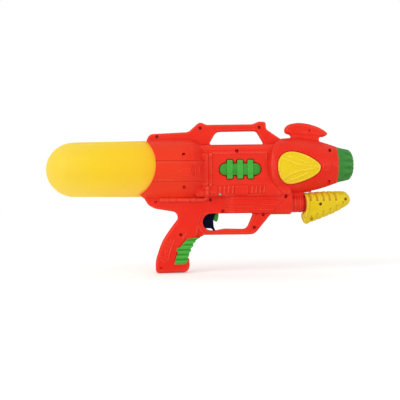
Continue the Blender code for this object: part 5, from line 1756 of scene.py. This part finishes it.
@dataclass
class TriggerGroup:
    """Trigger blade, the valve lever beside it and their pin."""

    blade: tuple[Corner, ...] = (
        (27.6, 98.8, 1), (23.2, 90, 8), (21.8, 82, 8), (22.4, 74.5, 6), (24.8, 68.5, 0.6), (21.0, 68.5, 0.6),
        (18.2, 71.7, 4), (7.6, 71.7, 2), (3.5, 77, 3), (4, 90, 4), (12, 98.8, 3))
    neck: tuple[Corner, ...] = (
        (38.2, 132.1, 5.4), (37.7, 116.6, 4), (24.4, 96.3, 1), (12.5, 96.3, 1), (23, 104.8, 4), (27.2, 118.6, 3),
        (27.2, 132.1, 5.4))
    lever: tuple[Corner, ...] = (
        (28.7, 132.6, 3), (31.7, 143.2, 1.2), (35.7, 143.2, 1.2), (35.7, 136.5, 3), (37.7, 126.6, 4), (30.8, 101, 3),
        (30.3, 89, 4), (28.2, 81.6, 2.4), (23.2, 83.4, 2), (22.4, 87.2, 2), (25.4, 95, 3), (26.3, 100.5, 2),
        (27.7, 116.6, 4))
    fillet_turn: float = 9.0
    beside: float = 2.3
    pin_radius: float = 1.5
    pin_cap: float = 2.1
    pin_reach: float = 27.4

    def plate(self, corners: tuple[Corner, ...], half: float, edge: float, middle: float,
              marks: Sequence[Mark] = ()) -> tuple[np.ndarray, np.ndarray]:
        """Rounded plate.

        Args:
            corners: Corners of its outline.
            half: Half its thickness.
            edge: Rounding of its rim.
            middle: Y of its middle plane.
            marks: Details on both faces.

        Returns:
            Points and triangles.
        """
        loop = filleted(corners, 0.0, self.fillet_turn)
        insets = [edge * (1.0 - math.cos(math.radians(angle))) for angle in (0, 18, 36, 54, 72, 90)]
        lines = rims(corners, (*insets, edge + 0.5), self.fillet_turn) + lines_of(marks)
        mould = Mould(lambda spots: is_inside(spots, loop), lines)

        def outer(spots: np.ndarray) -> np.ndarray:
            """Height of each face."""
            height = half - rounded_off(depth_in(spots, loop), edge)
            return height + sum(mark.rise(spots) for mark in marks)

        return mould.slab(outer, middle)

    def build(self) -> None:
        """Make the three pieces."""
        groove = [Ridge(spline(((17.5, 94.5), (15.6, 84), (18, 76)), 8, False), 1.6, -0.6)]
        points, faces = self.plate(self.blade, 5.5, 1.8, 0.0, groove)
        more, more_faces = self.plate(self.neck, 2.0, 0.5, -self.beside)
        merged = np.concatenate((points, more)), np.concatenate((faces, more_faces + len(points)))
        finished("trigger_blade", mesh_of(*merged), Finish.NAVY, "trigger", ("trigger",))
        lever = self.plate(self.lever, 2.0, 0.7, self.beside)
        finished("valve_lever_arm", mesh_of(*lever), Finish.GREEN, "trigger", ("valve_lever",))
        r, end, cap = self.pin_radius, self.pin_reach, self.pin_cap
        front = np.array(((end - 1.2, r), (end - 1.2, cap), (end - 0.7, cap), (end - 0.3, cap * 0.9), (end, cap * 0.6),
                          (end, 0.0)))
        profile = np.concatenate((front[::-1] * (-1.0, 1.0), ((0.0, r),), front))
        mesh = lathe(profile, 0.0, 24)
        x, z = TRIGGER_PIN
        mesh.transform(Matrix.Translation((x * MM, 0.0, z * MM)) @ Matrix.Rotation(math.pi / 2, 4, "Z"))
        finished("trigger_pin_turned", mesh, Finish.STEEL, "housing", ("trigger_pin",))


@dataclass
class Tank:
    """Blown tank with a domed end, a neck and a faint mould seam."""

    rear: float = -249.6
    radius: float = 45.6
    taper: float = 1.3
    dome: float = 46.0
    wall: float = 2.0
    neck: float = 11.0
    neck_wall: float = 2.4
    neck_end: float = -12.0
    neck_length: float = 20.0
    shoulder: float = 24.0
    taper_end: float = 25.0
    axis_z: float = TANK_Z
    seam: float = 0.22
    seam_width: float = 0.018
    dome_steps: int = 32
    wall_steps: int = 16
    shoulder_steps: int = 12

    def profile(self, inset: float) -> list[Spot]:
        """X and radius of the wall from the dome to the mouth of the neck.

        Args:
            inset: Distance inside the outer face.

        Returns:
            X and radius of each point.
        """
        size = self.radius - inset
        line = []
        for k in range(self.dome_steps + 1):
            angle = math.pi / 2 * k / self.dome_steps
            line.append((self.rear + inset + (self.dome - inset) * (1.0 - math.cos(angle)), size * math.sin(angle)))
        start = self.neck_end - self.neck_length - self.shoulder
        line += [(x, size) for x in np.linspace(line[-1][0], start, self.wall_steps)[1:-1]]
        neck = self.neck - (self.neck_wall if inset else 0.0)
        run = self.shoulder - inset
        for k in range(self.shoulder_steps + 1):
            angle = math.pi / 2 * k / self.shoulder_steps
            line.append((start + run * math.sin(angle), size + (neck - size) * (1.0 - math.cos(angle))))
        line.append((self.neck_end, neck))
        end = start - self.taper_end
        span = end - self.rear - self.dome
        taper = self.taper / self.radius
        return [(x, r * (1.0 - taper * min(max((end - x) / span, 0.0), 1.0))) for x, r in line]

    def build(self) -> None:
        """Make the tank."""
        outer = self.profile(0.0)
        profile = np.array(outer + self.profile(self.wall)[::-1])
        depth = np.where(np.arange(len(profile)) < len(outer) - 1, -self.seam, 0.0)
        depth = depth * np.clip(profile[:, 1] / self.radius * 1.4 - 0.4, 0.0, 1.0)

        def ridge(angle: np.ndarray) -> np.ndarray:
            """Seam at the top and at the bottom."""
            return np.exp(-(np.cos(angle) / self.seam_width) ** 2)

        finished("tank_blown", lathe(profile, self.axis_z, 240, ridge, depth), Finish.AMBER, "tank", ("tank",))


@dataclass
class Nozzle:
    """Green fluted cap on the muzzle."""

    rear: float = 222.8
    front: float = 250.0
    rim: float = 29.0
    hub: float = 5.3
    axis_z: float = NOSE_Z
    lobes: int = 12
    flute_depth: float = 4.0

    def build(self) -> None:
        """Make the cap."""
        x0, x1, rim = self.rear, self.front, self.rim
        skin = spline(((x0, rim - 0.5), (x0 + 0.5, rim), (x0 + 5, rim - 1.2), (x0 + 10.5, rim - 2.4),
                       (x0 + 16.5, rim - 3.7), (x0 + 20.2, rim - 4.8), (x0 + 23.0, rim - 7.2), (x1 - 2.2, rim - 11.2),
                       (x1 - 0.5, rim - 15.8), (x1 - 0.3, rim - 18.6), (x1 - 1.5, rim - 20.4), (x1 - 3.3, rim - 22.4)),
                      5, False)
        skin[:, 0] = np.minimum(skin[:, 0], x1)
        inner = np.array(((x1 - 3.5, 4.0), (x1 - 3.5, 1.3), (x1 - 7.5, 1.3), (x1 - 7.5, self.hub), (x0 + 3, self.hub),
                          (x0 + 3, self.hub + 3.2), (x1 - 10.5, self.hub + 3.2), (x1 - 10.5, rim - 10.5),
                          (x1 - 13.5, rim - 6.2), (x0 + 1.0, rim - 3.0), (x0, rim - 2.6)))
        profile = np.concatenate((skin, inner))
        run = np.clip((profile[:, 0] - x0 - 2.0) / 20.0, 0.0, 1.0) * np.clip((profile[:, 1] - 5.5) / 5.0, 0.0, 1.0)
        depth = np.where(np.arange(len(profile)) < len(skin), self.flute_depth * run, 0.0)

        def flute(angle: np.ndarray) -> np.ndarray:
            """Round lobes with valleys between them."""
            return (0.5 - 0.5 * np.cos(angle * self.lobes)) ** 1.4

        finished("nozzle_cap_fluted", lathe(profile, self.axis_z, 264, flute, depth), Finish.DEEP, "nozzle",
                 ("nozzle_cap",))


@dataclass
class Pump:
    """Yellow pump handle in two halves, and the ringed sleeve that it slides over."""

    section: tuple[Spot, ...] = (
        (172.7, 77.2), (175.2, 77.9), (178.5, 79.4), (182.1, 80.8), (195.6, 85.6), (203.8, 89), (211.9, 92.2),
        (220, 95.8), (232.2, 102.6), (240.3, 107.8), (242.9, 110.8), (244.1, 114.2), (243.8, 118.2), (242.3, 122),
        (239.6, 125.6), (236.6, 128.2), (232.5, 129.4), (220, 129.8), (205, 129.9), (190, 129.3), (178, 128.4),
        (172, 127.8), (170.2, 126.6), (170.2, 124), (171.6, 119), (172.4, 111), (172.2, 104), (171.4, 99),
        (169.6, 95.6), (168, 92.6), (167.8, 89.5), (168.2, 86), (169.2, 82.2), (170.6, 78.9))
    screws: tuple[Spot, ...] = ((194.2, 109.4), (234.7, 117.0), (179.7, 85.7))
    top_ribs: tuple[float, ...] = (178.8, 189.2, 199.7, 209.4, 219.4)
    low_ribs: tuple[Spot, ...] = (
        (179.1, 79.6), (189.0, 83.2), (199.0, 87.0), (210.0, 91.4), (220.6, 96.1), (230.6, 101.6))
    rear_bead: tuple[Spot, ...] = (
        (172.4, 124.5), (173.8, 119), (174.6, 111), (174.4, 104), (173.6, 98.6), (171.6, 94.4), (170.4, 90))
    bead_size: Spot = (4.2, 1.8)
    valley_width: float = 7.2
    top_depth: float = 2.6
    low_depth: float = 1.3
    notch: Spot = (1.1, 1.7)
    half: float = 20.0
    edge: float = 15.0
    wall: float = 2.4
    axis_z: float = PUMP_Z
    bore: float = 15.2
    bore_end: float = 189.0
    sink_radius: float = 2.6
    sink_floor: float = 7.0
    boss_radius: float = 3.6
    sleeve_radius: float = 14.6
    sleeve_front: float = 182.0
    sleeve_rings: tuple[Corner, ...] = (
        (149.6, 1.1, 0.55), (155.0, 1.1, 0.55), (163.2, 1.1, 0.55), (170.0, 2.4, -1.5))
    rod_bore: float = 7.5
    block_front: float = 147.7

    def paths(self) -> list[np.ndarray]:
        """Valleys between the ribs, each from the side of the handle out over its edge.

        Returns:
            Points of each valley, those of the top first.
        """
        lines = [((x, 116.5), (x - 0.3, 120.5), (x - 1.8, 125.4), (x - 4.0, 130.8)) for x in self.top_ribs]
        lines += [((x + 0.3, z + 10.0), (x - 0.6, z + 6.0), (x - 0.4, z + 2.5), (x + 0.6, z - 1.6))
                  for x, z in self.low_ribs]
        return [spline(line, 6, closed=False) for line in lines]

    def outline(self) -> np.ndarray:
        """Side outline, notched where the valleys run over the edge.

        Returns:
            Points of the outline.
        """
        loop = densified(spline(self.section, 4, closed=True), 0.8)
        depth, width = self.notch
        notch = np.zeros(len(loop))
        for path in self.paths():
            gap = segment_distance(loop, path[:-1], path[1:])
            notch += depth * np.exp(-(gap / width) ** 2)
        return loop + (moved_in(loop, 1.0) - loop) * notch[:, None]

    def marks(self) -> list[Mark]:
        """Details on the sides of the handle.

        Returns:
            The details.
        """
        tops = len(self.top_ribs)
        marks: list[Mark] = [Ridge(path, self.valley_width, -self.top_depth if k < tops else -self.low_depth)
                             for k, path in enumerate(self.paths())]
        marks.append(Ridge(spline(self.rear_bead, 6, closed=False), *self.bead_size, True))
        return marks

    def build(self) -> None:
        """Make the handle halves and the sleeve."""
        loop = self.outline()
        smooth = spline(self.section, 4, closed=True)
        x, z = smooth.T
        front = smooth[(x > 172.0) & ((z > 126.5) | (z < 126.5) & (x > 174.0))]
        front = front[np.argsort(np.arctan2(front[:, 1] - 108.0, front[:, 0] - 200.0))]
        body = np.concatenate((front, ((150.0, 127.8), (150.0, 77.2))))
        marks = self.marks()
        lines: list[Line] = [(loop, True)]
        lines += [(moved_in(smooth, inset), True) for inset in (1.2, 2.0, 3.2, 4.8)]
        lines += lines_of(marks)
        lines += rings(self.screws, self.sink_radius, (1.6, *HOLE_RINGS), 22)
        cavity = moved_in(smooth, self.wall)
        hollow: list[Line] = [(moved_in(smooth, self.wall + offset), True) for offset in (-SKIRT, 0.0)]
        for z in self.axis_z + self.bore * half_turn(10.0):
            hollow.append(ruled((165.0, z), (self.bore_end, z)))
        spots = grid((166.0, 77.0), (244.0, 129.0), 1.5)
        mould = Mould(lambda spot: is_inside(spot, loop), lines, hollow, spots[depth_in(spots, loop) > 0.6])

        def outer(spots: np.ndarray, side: Side) -> np.ndarray:
            """Height of the skin.

            Args:
                spots: X and Z of the points.
                side: Half of the handle.

            Returns:
                Heights above the parting plane.
            """
            height = self.half - rounded_off(depth_in(spots, body), self.edge)
            height = height + sum(mark.rise(spots) for mark in marks)
            if side is Side.RIGHT:
                height = sunk_holes(height, spots, self.screws, self.sink_radius, self.sink_floor)
            return np.maximum(height, LEAST)

        def under(spots: np.ndarray, side: Side) -> np.ndarray:
            """Height of the hollow.

            Args:
                spots: X and Z of the points.
                side: Half of the handle.

            Returns:
                Heights above the parting plane.
            """
            deep = self.half - self.wall - rounded_off(depth_in(spots, body) - self.wall, self.edge - self.wall)
            height = np.where(depth_in(spots, cavity) > TOUCH, deep, PARTING)
            for spot in self.screws:
                height = np.where(np.linalg.norm(spots - spot, axis=1) < self.boss_radius, PARTING, height)
            hole = round_height(self.bore, spots[:, 1] - self.axis_z)
            height = np.where(spots[:, 0] < self.bore_end, np.maximum(height, hole), height)
            return np.maximum(np.minimum(height, outer(spots, side) - SKIN), PARTING)

        make_halves("pump_handle", "shell", mould, outer, under, Finish.HANDLE, "pump")
        self.build_sleeve()

    def build_sleeve(self) -> None:
        """Make the sleeve."""
        inside = self.block_front - self.wall
        r, front, bore = self.sleeve_radius, self.sleeve_front, self.rod_bore
        line: list[Spot] = [(inside - 1.7, bore), (inside - 1.7, r + 0.9), (inside - 0.3, r + 0.9), (inside - 0.3, r)]
        for x, half, rise in self.sleeve_rings:
            line.append((x - half - 0.4, r))
            for angle in np.radians(np.arange(0.0, 181.0, 20.0)):
                line.append((x - half * math.cos(angle), r + rise * math.sin(angle)))
            line.append((x + half + 0.4, r))
        line += [(front - 0.6, r), (front, r - 0.5), (front, r - 2.0), (inside + 2.0, r - 2.0), (inside + 2.0, bore)]
        mesh = lathe(np.array(line), self.axis_z, 64)
        finished("pump_sleeve_ringed", mesh, Finish.SLEEVE, "housing", ("pump_sleeve",))


class GeometryTree(Tree):
    """Geometry Nodes tree."""

    def __init__(self, name: str, sizes: dict[str, float]) -> None:
        """Start a tree with a geometry input and a named input for each size.

        Args:
            name: Name of the tree.
            sizes: Value of each size, in millimetres.
        """
        self.group = bpy.data.node_groups.new(name, "GeometryNodeTree")
        super().__init__(self.group)
        self.sizes = sizes
        face = self.group.interface
        face.new_socket("Geometry", in_out="INPUT", socket_type="NodeSocketGeometry")
        for key in sizes:
            face.new_socket(key, in_out="INPUT", socket_type="NodeSocketFloat")
        face.new_socket("Geometry", in_out="OUTPUT", socket_type="NodeSocketGeometry")
        self.entry = self.nodes.new("NodeGroupInput")
        self.exit = self.nodes.new("NodeGroupOutput")

    def size(self, name: str) -> Signal:
        """Signal of a named size, or of the geometry."""
        return Signal(self, self.entry.outputs[name])

    def vector(self, x: object, y: object, z: object) -> Signal:
        """Vector of three numbers or signals."""
        return self.node("ShaderNodeCombineXYZ", {0: x, 1: y, 2: z})[0]

    def lifted(self, geometry: Signal, height: Signal) -> Signal:
        """Geometry moved along Z."""
        return self.node("GeometryNodeTransform", {
            "Geometry": geometry, "Translation": self.vector(0.0, 0.0, height)})[0]

    def grown(self, geometry: Signal, finish: Finish, mesh: bpy.types.Mesh) -> bpy.types.Mesh:
        """End the tree and turn its result on a mesh into a plain mesh.

        Args:
            geometry: Signal with the instances.
            finish: Finish of the result.
            mesh: Mesh that the tree works on.

        Returns:
            The plain mesh.
        """
        real = self.node("GeometryNodeRealizeInstances", {0: geometry})[0]
        dressed = self.node("GeometryNodeSetMaterial", {"Geometry": real, "Material": palette[finish]})[0]
        self.feed(self.exit.inputs[0], dressed)
        holder = bpy.data.objects.new("holder", mesh)
        bpy.context.scene.collection.objects.link(holder)
        modifier = holder.modifiers.new("grow", "NODES")
        modifier.node_group = self.group
        for item in self.group.interface.items_tree:
            if item.in_out == "INPUT" and item.name in self.sizes:
                modifier[item.identifier] = self.sizes[item.name] * MM
        graph = bpy.context.evaluated_depsgraph_get()
        result = bpy.data.meshes.new_from_object(holder.evaluated_get(graph), depsgraph=graph)
        bpy.data.objects.remove(holder)
        return result


@dataclass
class Screws:
    """Pan-head screws with a cross recess, sunk in the right side."""

    head: float = 2.5
    head_height: float = 1.6
    head_sides: int = 24
    crown: float = 0.3
    shank: float = 1.3
    shank_sides: int = 14
    reach: float = 14.6
    seat: float = -7.0
    recess: Spot = (2.7, 0.62)
    recess_depth: float = 0.75
    turn: float = 1.5
    seed: int = 7

    def tree(self) -> GeometryTree:
        """Tree with the sizes of the screw.

        Returns:
            The tree.
        """
        return GeometryTree("screw_set", {
            "Head Radius": self.head, "Head Height": self.head_height, "Shank Radius": self.shank,
            "Shank Length": self.reach, "Recess Length": self.recess[0], "Recess Width": self.recess[1],
            "Recess Depth": self.recess_depth})

    def build(self, name: str, spots: Sequence[Spot], body: str, nodes: Sequence[str], finish: Finish) -> None:
        """Make one body's screws.

        Args:
            name: Name of the piece.
            spots: X and Z of each screw.
            body: Body that they move with.
            nodes: Nodes that they stand for.
            finish: Finish of the screws.
        """
        tree = self.tree()
        radius, height, length = tree.size("Head Radius"), tree.size("Head Height"), tree.size("Shank Length")
        head = tree.node("GeometryNodeMeshCylinder", {
            "Vertices": self.head_sides, "Fill Segments": 3, "Radius": radius, "Depth": height},
            fill_type="TRIANGLE_FAN")[0]
        x, y, z = tree.node("ShaderNodeSeparateXYZ", {0: tree.node("GeometryNodeInputPosition")[0]})
        drop = (x * x + y * y) / (radius * radius) * (height * -self.crown)
        crowned = tree.node("GeometryNodeSetPosition", {
            "Geometry": head, "Selection": tree.math("GREATER_THAN", z, 0.0), "Offset": tree.vector(0.0, 0.0, drop)})[0]
        long, wide, deep = tree.size("Recess Length"), tree.size("Recess Width"), tree.size("Recess Depth") * 2.0
        bars = [tree.lifted(tree.node("GeometryNodeMeshCube", {"Size": tree.vector(*size, deep)})[0], height * 0.5)
                for size in ((long, wide), (wide, long))]
        cut = tree.node("GeometryNodeMeshBoolean", {0: crowned, 1: bars}, operation="DIFFERENCE")[0]
        shank = tree.node("GeometryNodeMeshCylinder", {
            "Vertices": self.shank_sides, "Radius": tree.size("Shank Radius"), "Depth": length})[0]
        shank = tree.lifted(shank, (length + height) * -0.5)
        whole = tree.node("GeometryNodeJoinGeometry", {0: [cut, shank]})[0]
        whole = tree.node("GeometryNodeTransform", {"Geometry": whole, "Rotation": (math.pi / 2, 0.0, 0.0)})[0]
        turn = tree.node("FunctionNodeRandomValue", {"Min": 0.0, "Max": self.turn, "Seed": self.seed},
                         data_type="FLOAT")[0]
        placed = tree.node("GeometryNodeInstanceOnPoints", {
            "Points": tree.size("Geometry"), "Instance": whole, "Rotation": tree.vector(0.0, turn, 0.0)})[0]
        base = np.array([(x, self.seat - self.head_height / 2, z) for x, z in spots])
        finished(name, tree.grown(placed, finish, mesh_of(base, [])), finish, body, nodes)


@dataclass
class Stipple:
    """Low round dots on the rear of the grip, on both sides."""

    housing: Housing
    zone: tuple[Corner, ...] = (
        (-66.4, 19, 4), (-59.6, 41, 30), (-49.4, 57, 3), (-45, 55, 3), (-50.2, 39.5, 20), (-54.8, 20, 3))
    box: tuple[Spot, Spot] = ((-67.0, 18.0), (-44.0, 59.0))
    gap: float = 1.5
    spacing: float = 3.1
    density: float = 400000.0
    dot: float = 1.15
    height: float = 0.6
    seed: int = 5

    def skin(self) -> bpy.types.Mesh:
        """Skin of the grip in the zone.

        Returns:
            The mesh of both sides.
        """
        loop = densified(filleted(self.zone), self.gap)
        spots = grid(*self.box, self.gap)
        flat, faces = triangulate([(loop, True)], spots[depth_in(spots, loop) > 0.5])
        faces = faces[is_inside(flat[faces].mean(1), loop)]
        points = np.concatenate([raised(flat, side.value * self.housing.outer(flat, side)) for side in Side])
        return mesh_of(points, np.concatenate((faces, faces[:, ::-1] + len(flat))))

    def build(self) -> None:
        """Make the dots as one piece."""
        tree = GeometryTree("stipple", {
            "Spacing": self.spacing, "Dot Radius": self.dot, "Dot Height": self.height})
        points, _, turn = tree.node("GeometryNodeDistributePointsOnFaces", {
            "Mesh": tree.size("Geometry"), "Distance Min": tree.size("Spacing"), "Density Max": self.density,
            "Seed": self.seed}, distribute_method="POISSON")
        radius = tree.size("Dot Radius")
        ball = tree.node("GeometryNodeMeshIcoSphere", {"Radius": radius, "Subdivisions": 2})[0]
        squash = tree.vector(1.0, 1.0, tree.size("Dot Height") / radius)
        placed = tree.node("GeometryNodeInstanceOnPoints", {
            "Points": points, "Instance": ball, "Rotation": turn, "Scale": squash})[0]
        finished("grip_stipple", tree.grown(placed, Finish.RED, self.skin()), Finish.RED, "housing")


@dataclass
class ValveSpring:
    """Spring in front of the valve stem, made at one length; the real one shortens as the trigger is pulled."""

    start: float = 57.0
    end: float = 80.3
    axis_z: float = 141.0
    radius: float = 3.7
    gauge: float = 0.4
    turns: int = 6
    steps: int = 16
    sides: int = 8
    travel: float = 3.52

    def build(self) -> None:
        """Make the spring."""
        count = self.turns * self.steps + 1
        angle = np.arange(count) * 2 * math.pi / self.steps
        spoke = np.stack((np.zeros(count), np.cos(angle), np.sin(angle)), axis=1)
        line = self.radius * spoke
        line[:, 0] = np.linspace(self.start, self.end, count)
        line[:, 2] += self.axis_z
        ring = np.arange(self.sides) * 2 * math.pi / self.sides
        points = line[:, None, :] + self.gauge * np.cos(ring)[None, :, None] * spoke[:, None, :]
        points[:, :, 0] += self.gauge * np.sin(ring)
        faces: list[list[int]] = []
        for i in range(count - 1):
            for j in range(self.sides):
                a, b = i * self.sides + j, i * self.sides + (j + 1) % self.sides
                faces.append([a, a + self.sides, b + self.sides, b])
        last = (count - 1) * self.sides
        faces += [list(range(self.sides)), list(range(last + self.sides - 1, last - 1, -1))]
        mesh = mesh_of(points.reshape(-1, 3), faces)
        piece = finished("valve_coil", mesh, Finish.STEEL, "housing", ("valve_spring",))
        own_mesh(piece)


@dataclass
class Inside:
    """Solids behind the housing, which keep their shape and take a finish."""

    finishes: tuple[tuple[Finish, tuple[str, ...]], ...] = (
        (Finish.WHITE, ("tank_collar", "pump_barrel", "rod_guide", "check_valve", "pump_piston", "pump_rod",
                        "valve_body", "valve_stem", "nozzle_tube")),
        (Finish.HOSE, ("water_hose", "air_hose", "nozzle_hose")),
        (Finish.RUBBER, ("tank_seal", "piston_seal", "valve_seal", "nozzle_seal")),
        (Finish.STEEL, ("trigger_spring",)))

    def dress(self) -> None:
        """Give each solid its finish."""
        for finish, nodes in self.finishes:
            for node in nodes:
                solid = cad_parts[node]
                solid.data.materials.clear()
                solid.data.materials.append(palette[finish])
                log.info("%s: %s", node, finish.value.name)


@dataclass
class Studio:
    """White floor and backdrop, soft lights and the camera; in metres, but floor, lens and sensor in mm."""

    distance: float = 1.3
    eye: tuple[float, float] = (0.0005, 0.118)
    lens: float = 71.7
    sensor: float = 36.0
    roll: float = -0.63
    ambient: float = 0.66
    floor: float = 6000.0
    floor_limits: Limits = (0.2, 6.0)
    floor_levels: Limits = (0.305, 0.42)
    floor_white: float = 0.90
    lamps: tuple[tuple[str, Corner, float, float], ...] = (
        ("key", (-1.2, -1.4, 1.3), 1.3, 11.0), ("fill_right", (1.2, -1.2, 0.10), 1.0, 8.0),
        ("fill_left", (-1.4, -1.0, 0.12), 1.0, 5.0), ("back", (0.3, 1.4, 1.3), 1.4, 2.5))
    aim: Corner = (0.0, 0.0, 0.15)

    def seen(self, tree: Tree) -> Signal:
        """Signal that is 1 for camera, glossy and transmission rays.

        Args:
            tree: Tree of a material or of the world.

        Returns:
            The signal.
        """
        rays = {ray.socket.name: ray for ray in tree.node("ShaderNodeLightPath")}
        mirrored = tree.math("MAXIMUM", rays["Is Glossy Ray"], rays["Is Transmission Ray"])
        return tree.math("MAXIMUM", rays["Is Camera Ray"], mirrored)

    def light_world(self) -> None:
        """Even light from all round, white where it is seen."""
        world = bpy.data.worlds.new("studio")
        bpy.context.scene.world = world
        world.use_nodes = True
        tree = Tree(world.node_tree)
        level = tree.node("ShaderNodeMapRange", {"Value": self.seen(tree), "To Min": self.ambient, "To Max": 1.0})[0]
        back = tree.nodes["Background"]
        tree.feed(back.inputs["Color"], grey(1.0))
        tree.feed(back.inputs["Strength"], level)

    def lay_floor(self) -> None:
        """White floor that keeps the shadow."""
        corners = self.floor * np.array(((-1.0, -1.0, 0.0), (1.0, -1.0, 0.0), (1.0, 1.0, 0.0), (-1.0, 1.0, 0.0)))
        mesh = mesh_of(corners, [(0, 1, 2, 3)])
        floor = bpy.data.objects.new("floor", mesh)
        bpy.context.scene.collection.objects.link(floor)
        tree = ShaderTree("floor_white")
        x, y, _ = tree.axes()
        level = tree.mix((x * x + y * y).clipped(*self.floor_limits), *map(grey, self.floor_levels))
        glow = tree.mix(self.seen(tree), grey(0.0), level)
        tree.surface(Base_Color=grey(self.floor_white), Roughness=0.9, Specular_IOR_Level=0.0, Emission_Color=glow,
                     Emission_Strength=1.0)
        mesh.materials.append(tree.material)

    def lamp(self, name: str, place: Sequence[float], size: float, power: float) -> None:
        """Square area lamp that points at the middle of the object.

        Args:
            name: Name of the lamp.
            place: Its place.
            size: Side of the square.
            power: Power in watts.
        """
        data = bpy.data.lights.new(name, "AREA")
        data.size = size
        data.energy = power
        lamp = bpy.data.objects.new(name, data)
        lamp.location = place
        aim = Vector(self.aim) - Vector(place)
        lamp.rotation_euler = aim.to_track_quat("-Z", "Y").to_euler()
        bpy.context.scene.collection.objects.link(lamp)

    def build(self) -> None:
        """Set up the floor, the lights and the camera."""
        scene = bpy.context.scene
        scene.view_settings.view_transform = "Standard"
        self.light_world()
        self.lay_floor()
        for lamp in self.lamps:
            self.lamp(*lamp)
        data = bpy.data.cameras.new("camera")
        data.lens = self.lens
        data.sensor_width = self.sensor
        data.dof.use_dof = False
        camera = bpy.data.objects.new("camera", data)
        turn = Matrix.Rotation(math.pi / 2, 4, "X") @ Matrix.Rotation(math.radians(self.roll), 4, "Z")
        camera.matrix_world = Matrix.Translation((self.eye[0], -self.distance, self.eye[1])) @ turn
        scene.collection.objects.link(camera)
        scene.camera = camera


def main() -> None:
    """Build and dress every sub-assembly, then set up the studio."""
    logging.basicConfig(level=logging.INFO, format="%(name)s %(message)s")
    housing = Housing()
    housing.build()
    SideInsert().build()
    NoseInlay(housing).build()
    GripInsert().build()
    TriggerGroup().build()
    Tank().build()
    Nozzle().build()
    pump = Pump()
    pump.build()
    screws = Screws()
    # Screws get shaded or lit copies of one steel by hole: painted shade and painted light.
    for name, finish, is_lit in (("housing_screws", Finish.SUNK_RED, False),
                                 ("housing_screws_lit", Finish.LIT_RED, True)):
        group = [k for k in range(len(housing.screws)) if (k + 1 in housing.lit_screws) == is_lit]
        nodes = [f"housing_screw_{k + 1:02d}" for k in group]
        screws.build(name, [housing.screws[k] for k in group], "housing", nodes, finish)
    screws.build("pump_screw_middle", pump.screws[:1], "pump", ["pump_screw_1"], Finish.SUNK_YELLOW)
    screws.build("pump_screws_ends", pump.screws[1:], "pump", ["pump_screw_2", "pump_screw_3"], Finish.LIT_YELLOW)
    Stipple(housing).build()
    ValveSpring().build()
    Inside().dress()
    Studio().build()


if __name__ == "__main__":
    main()
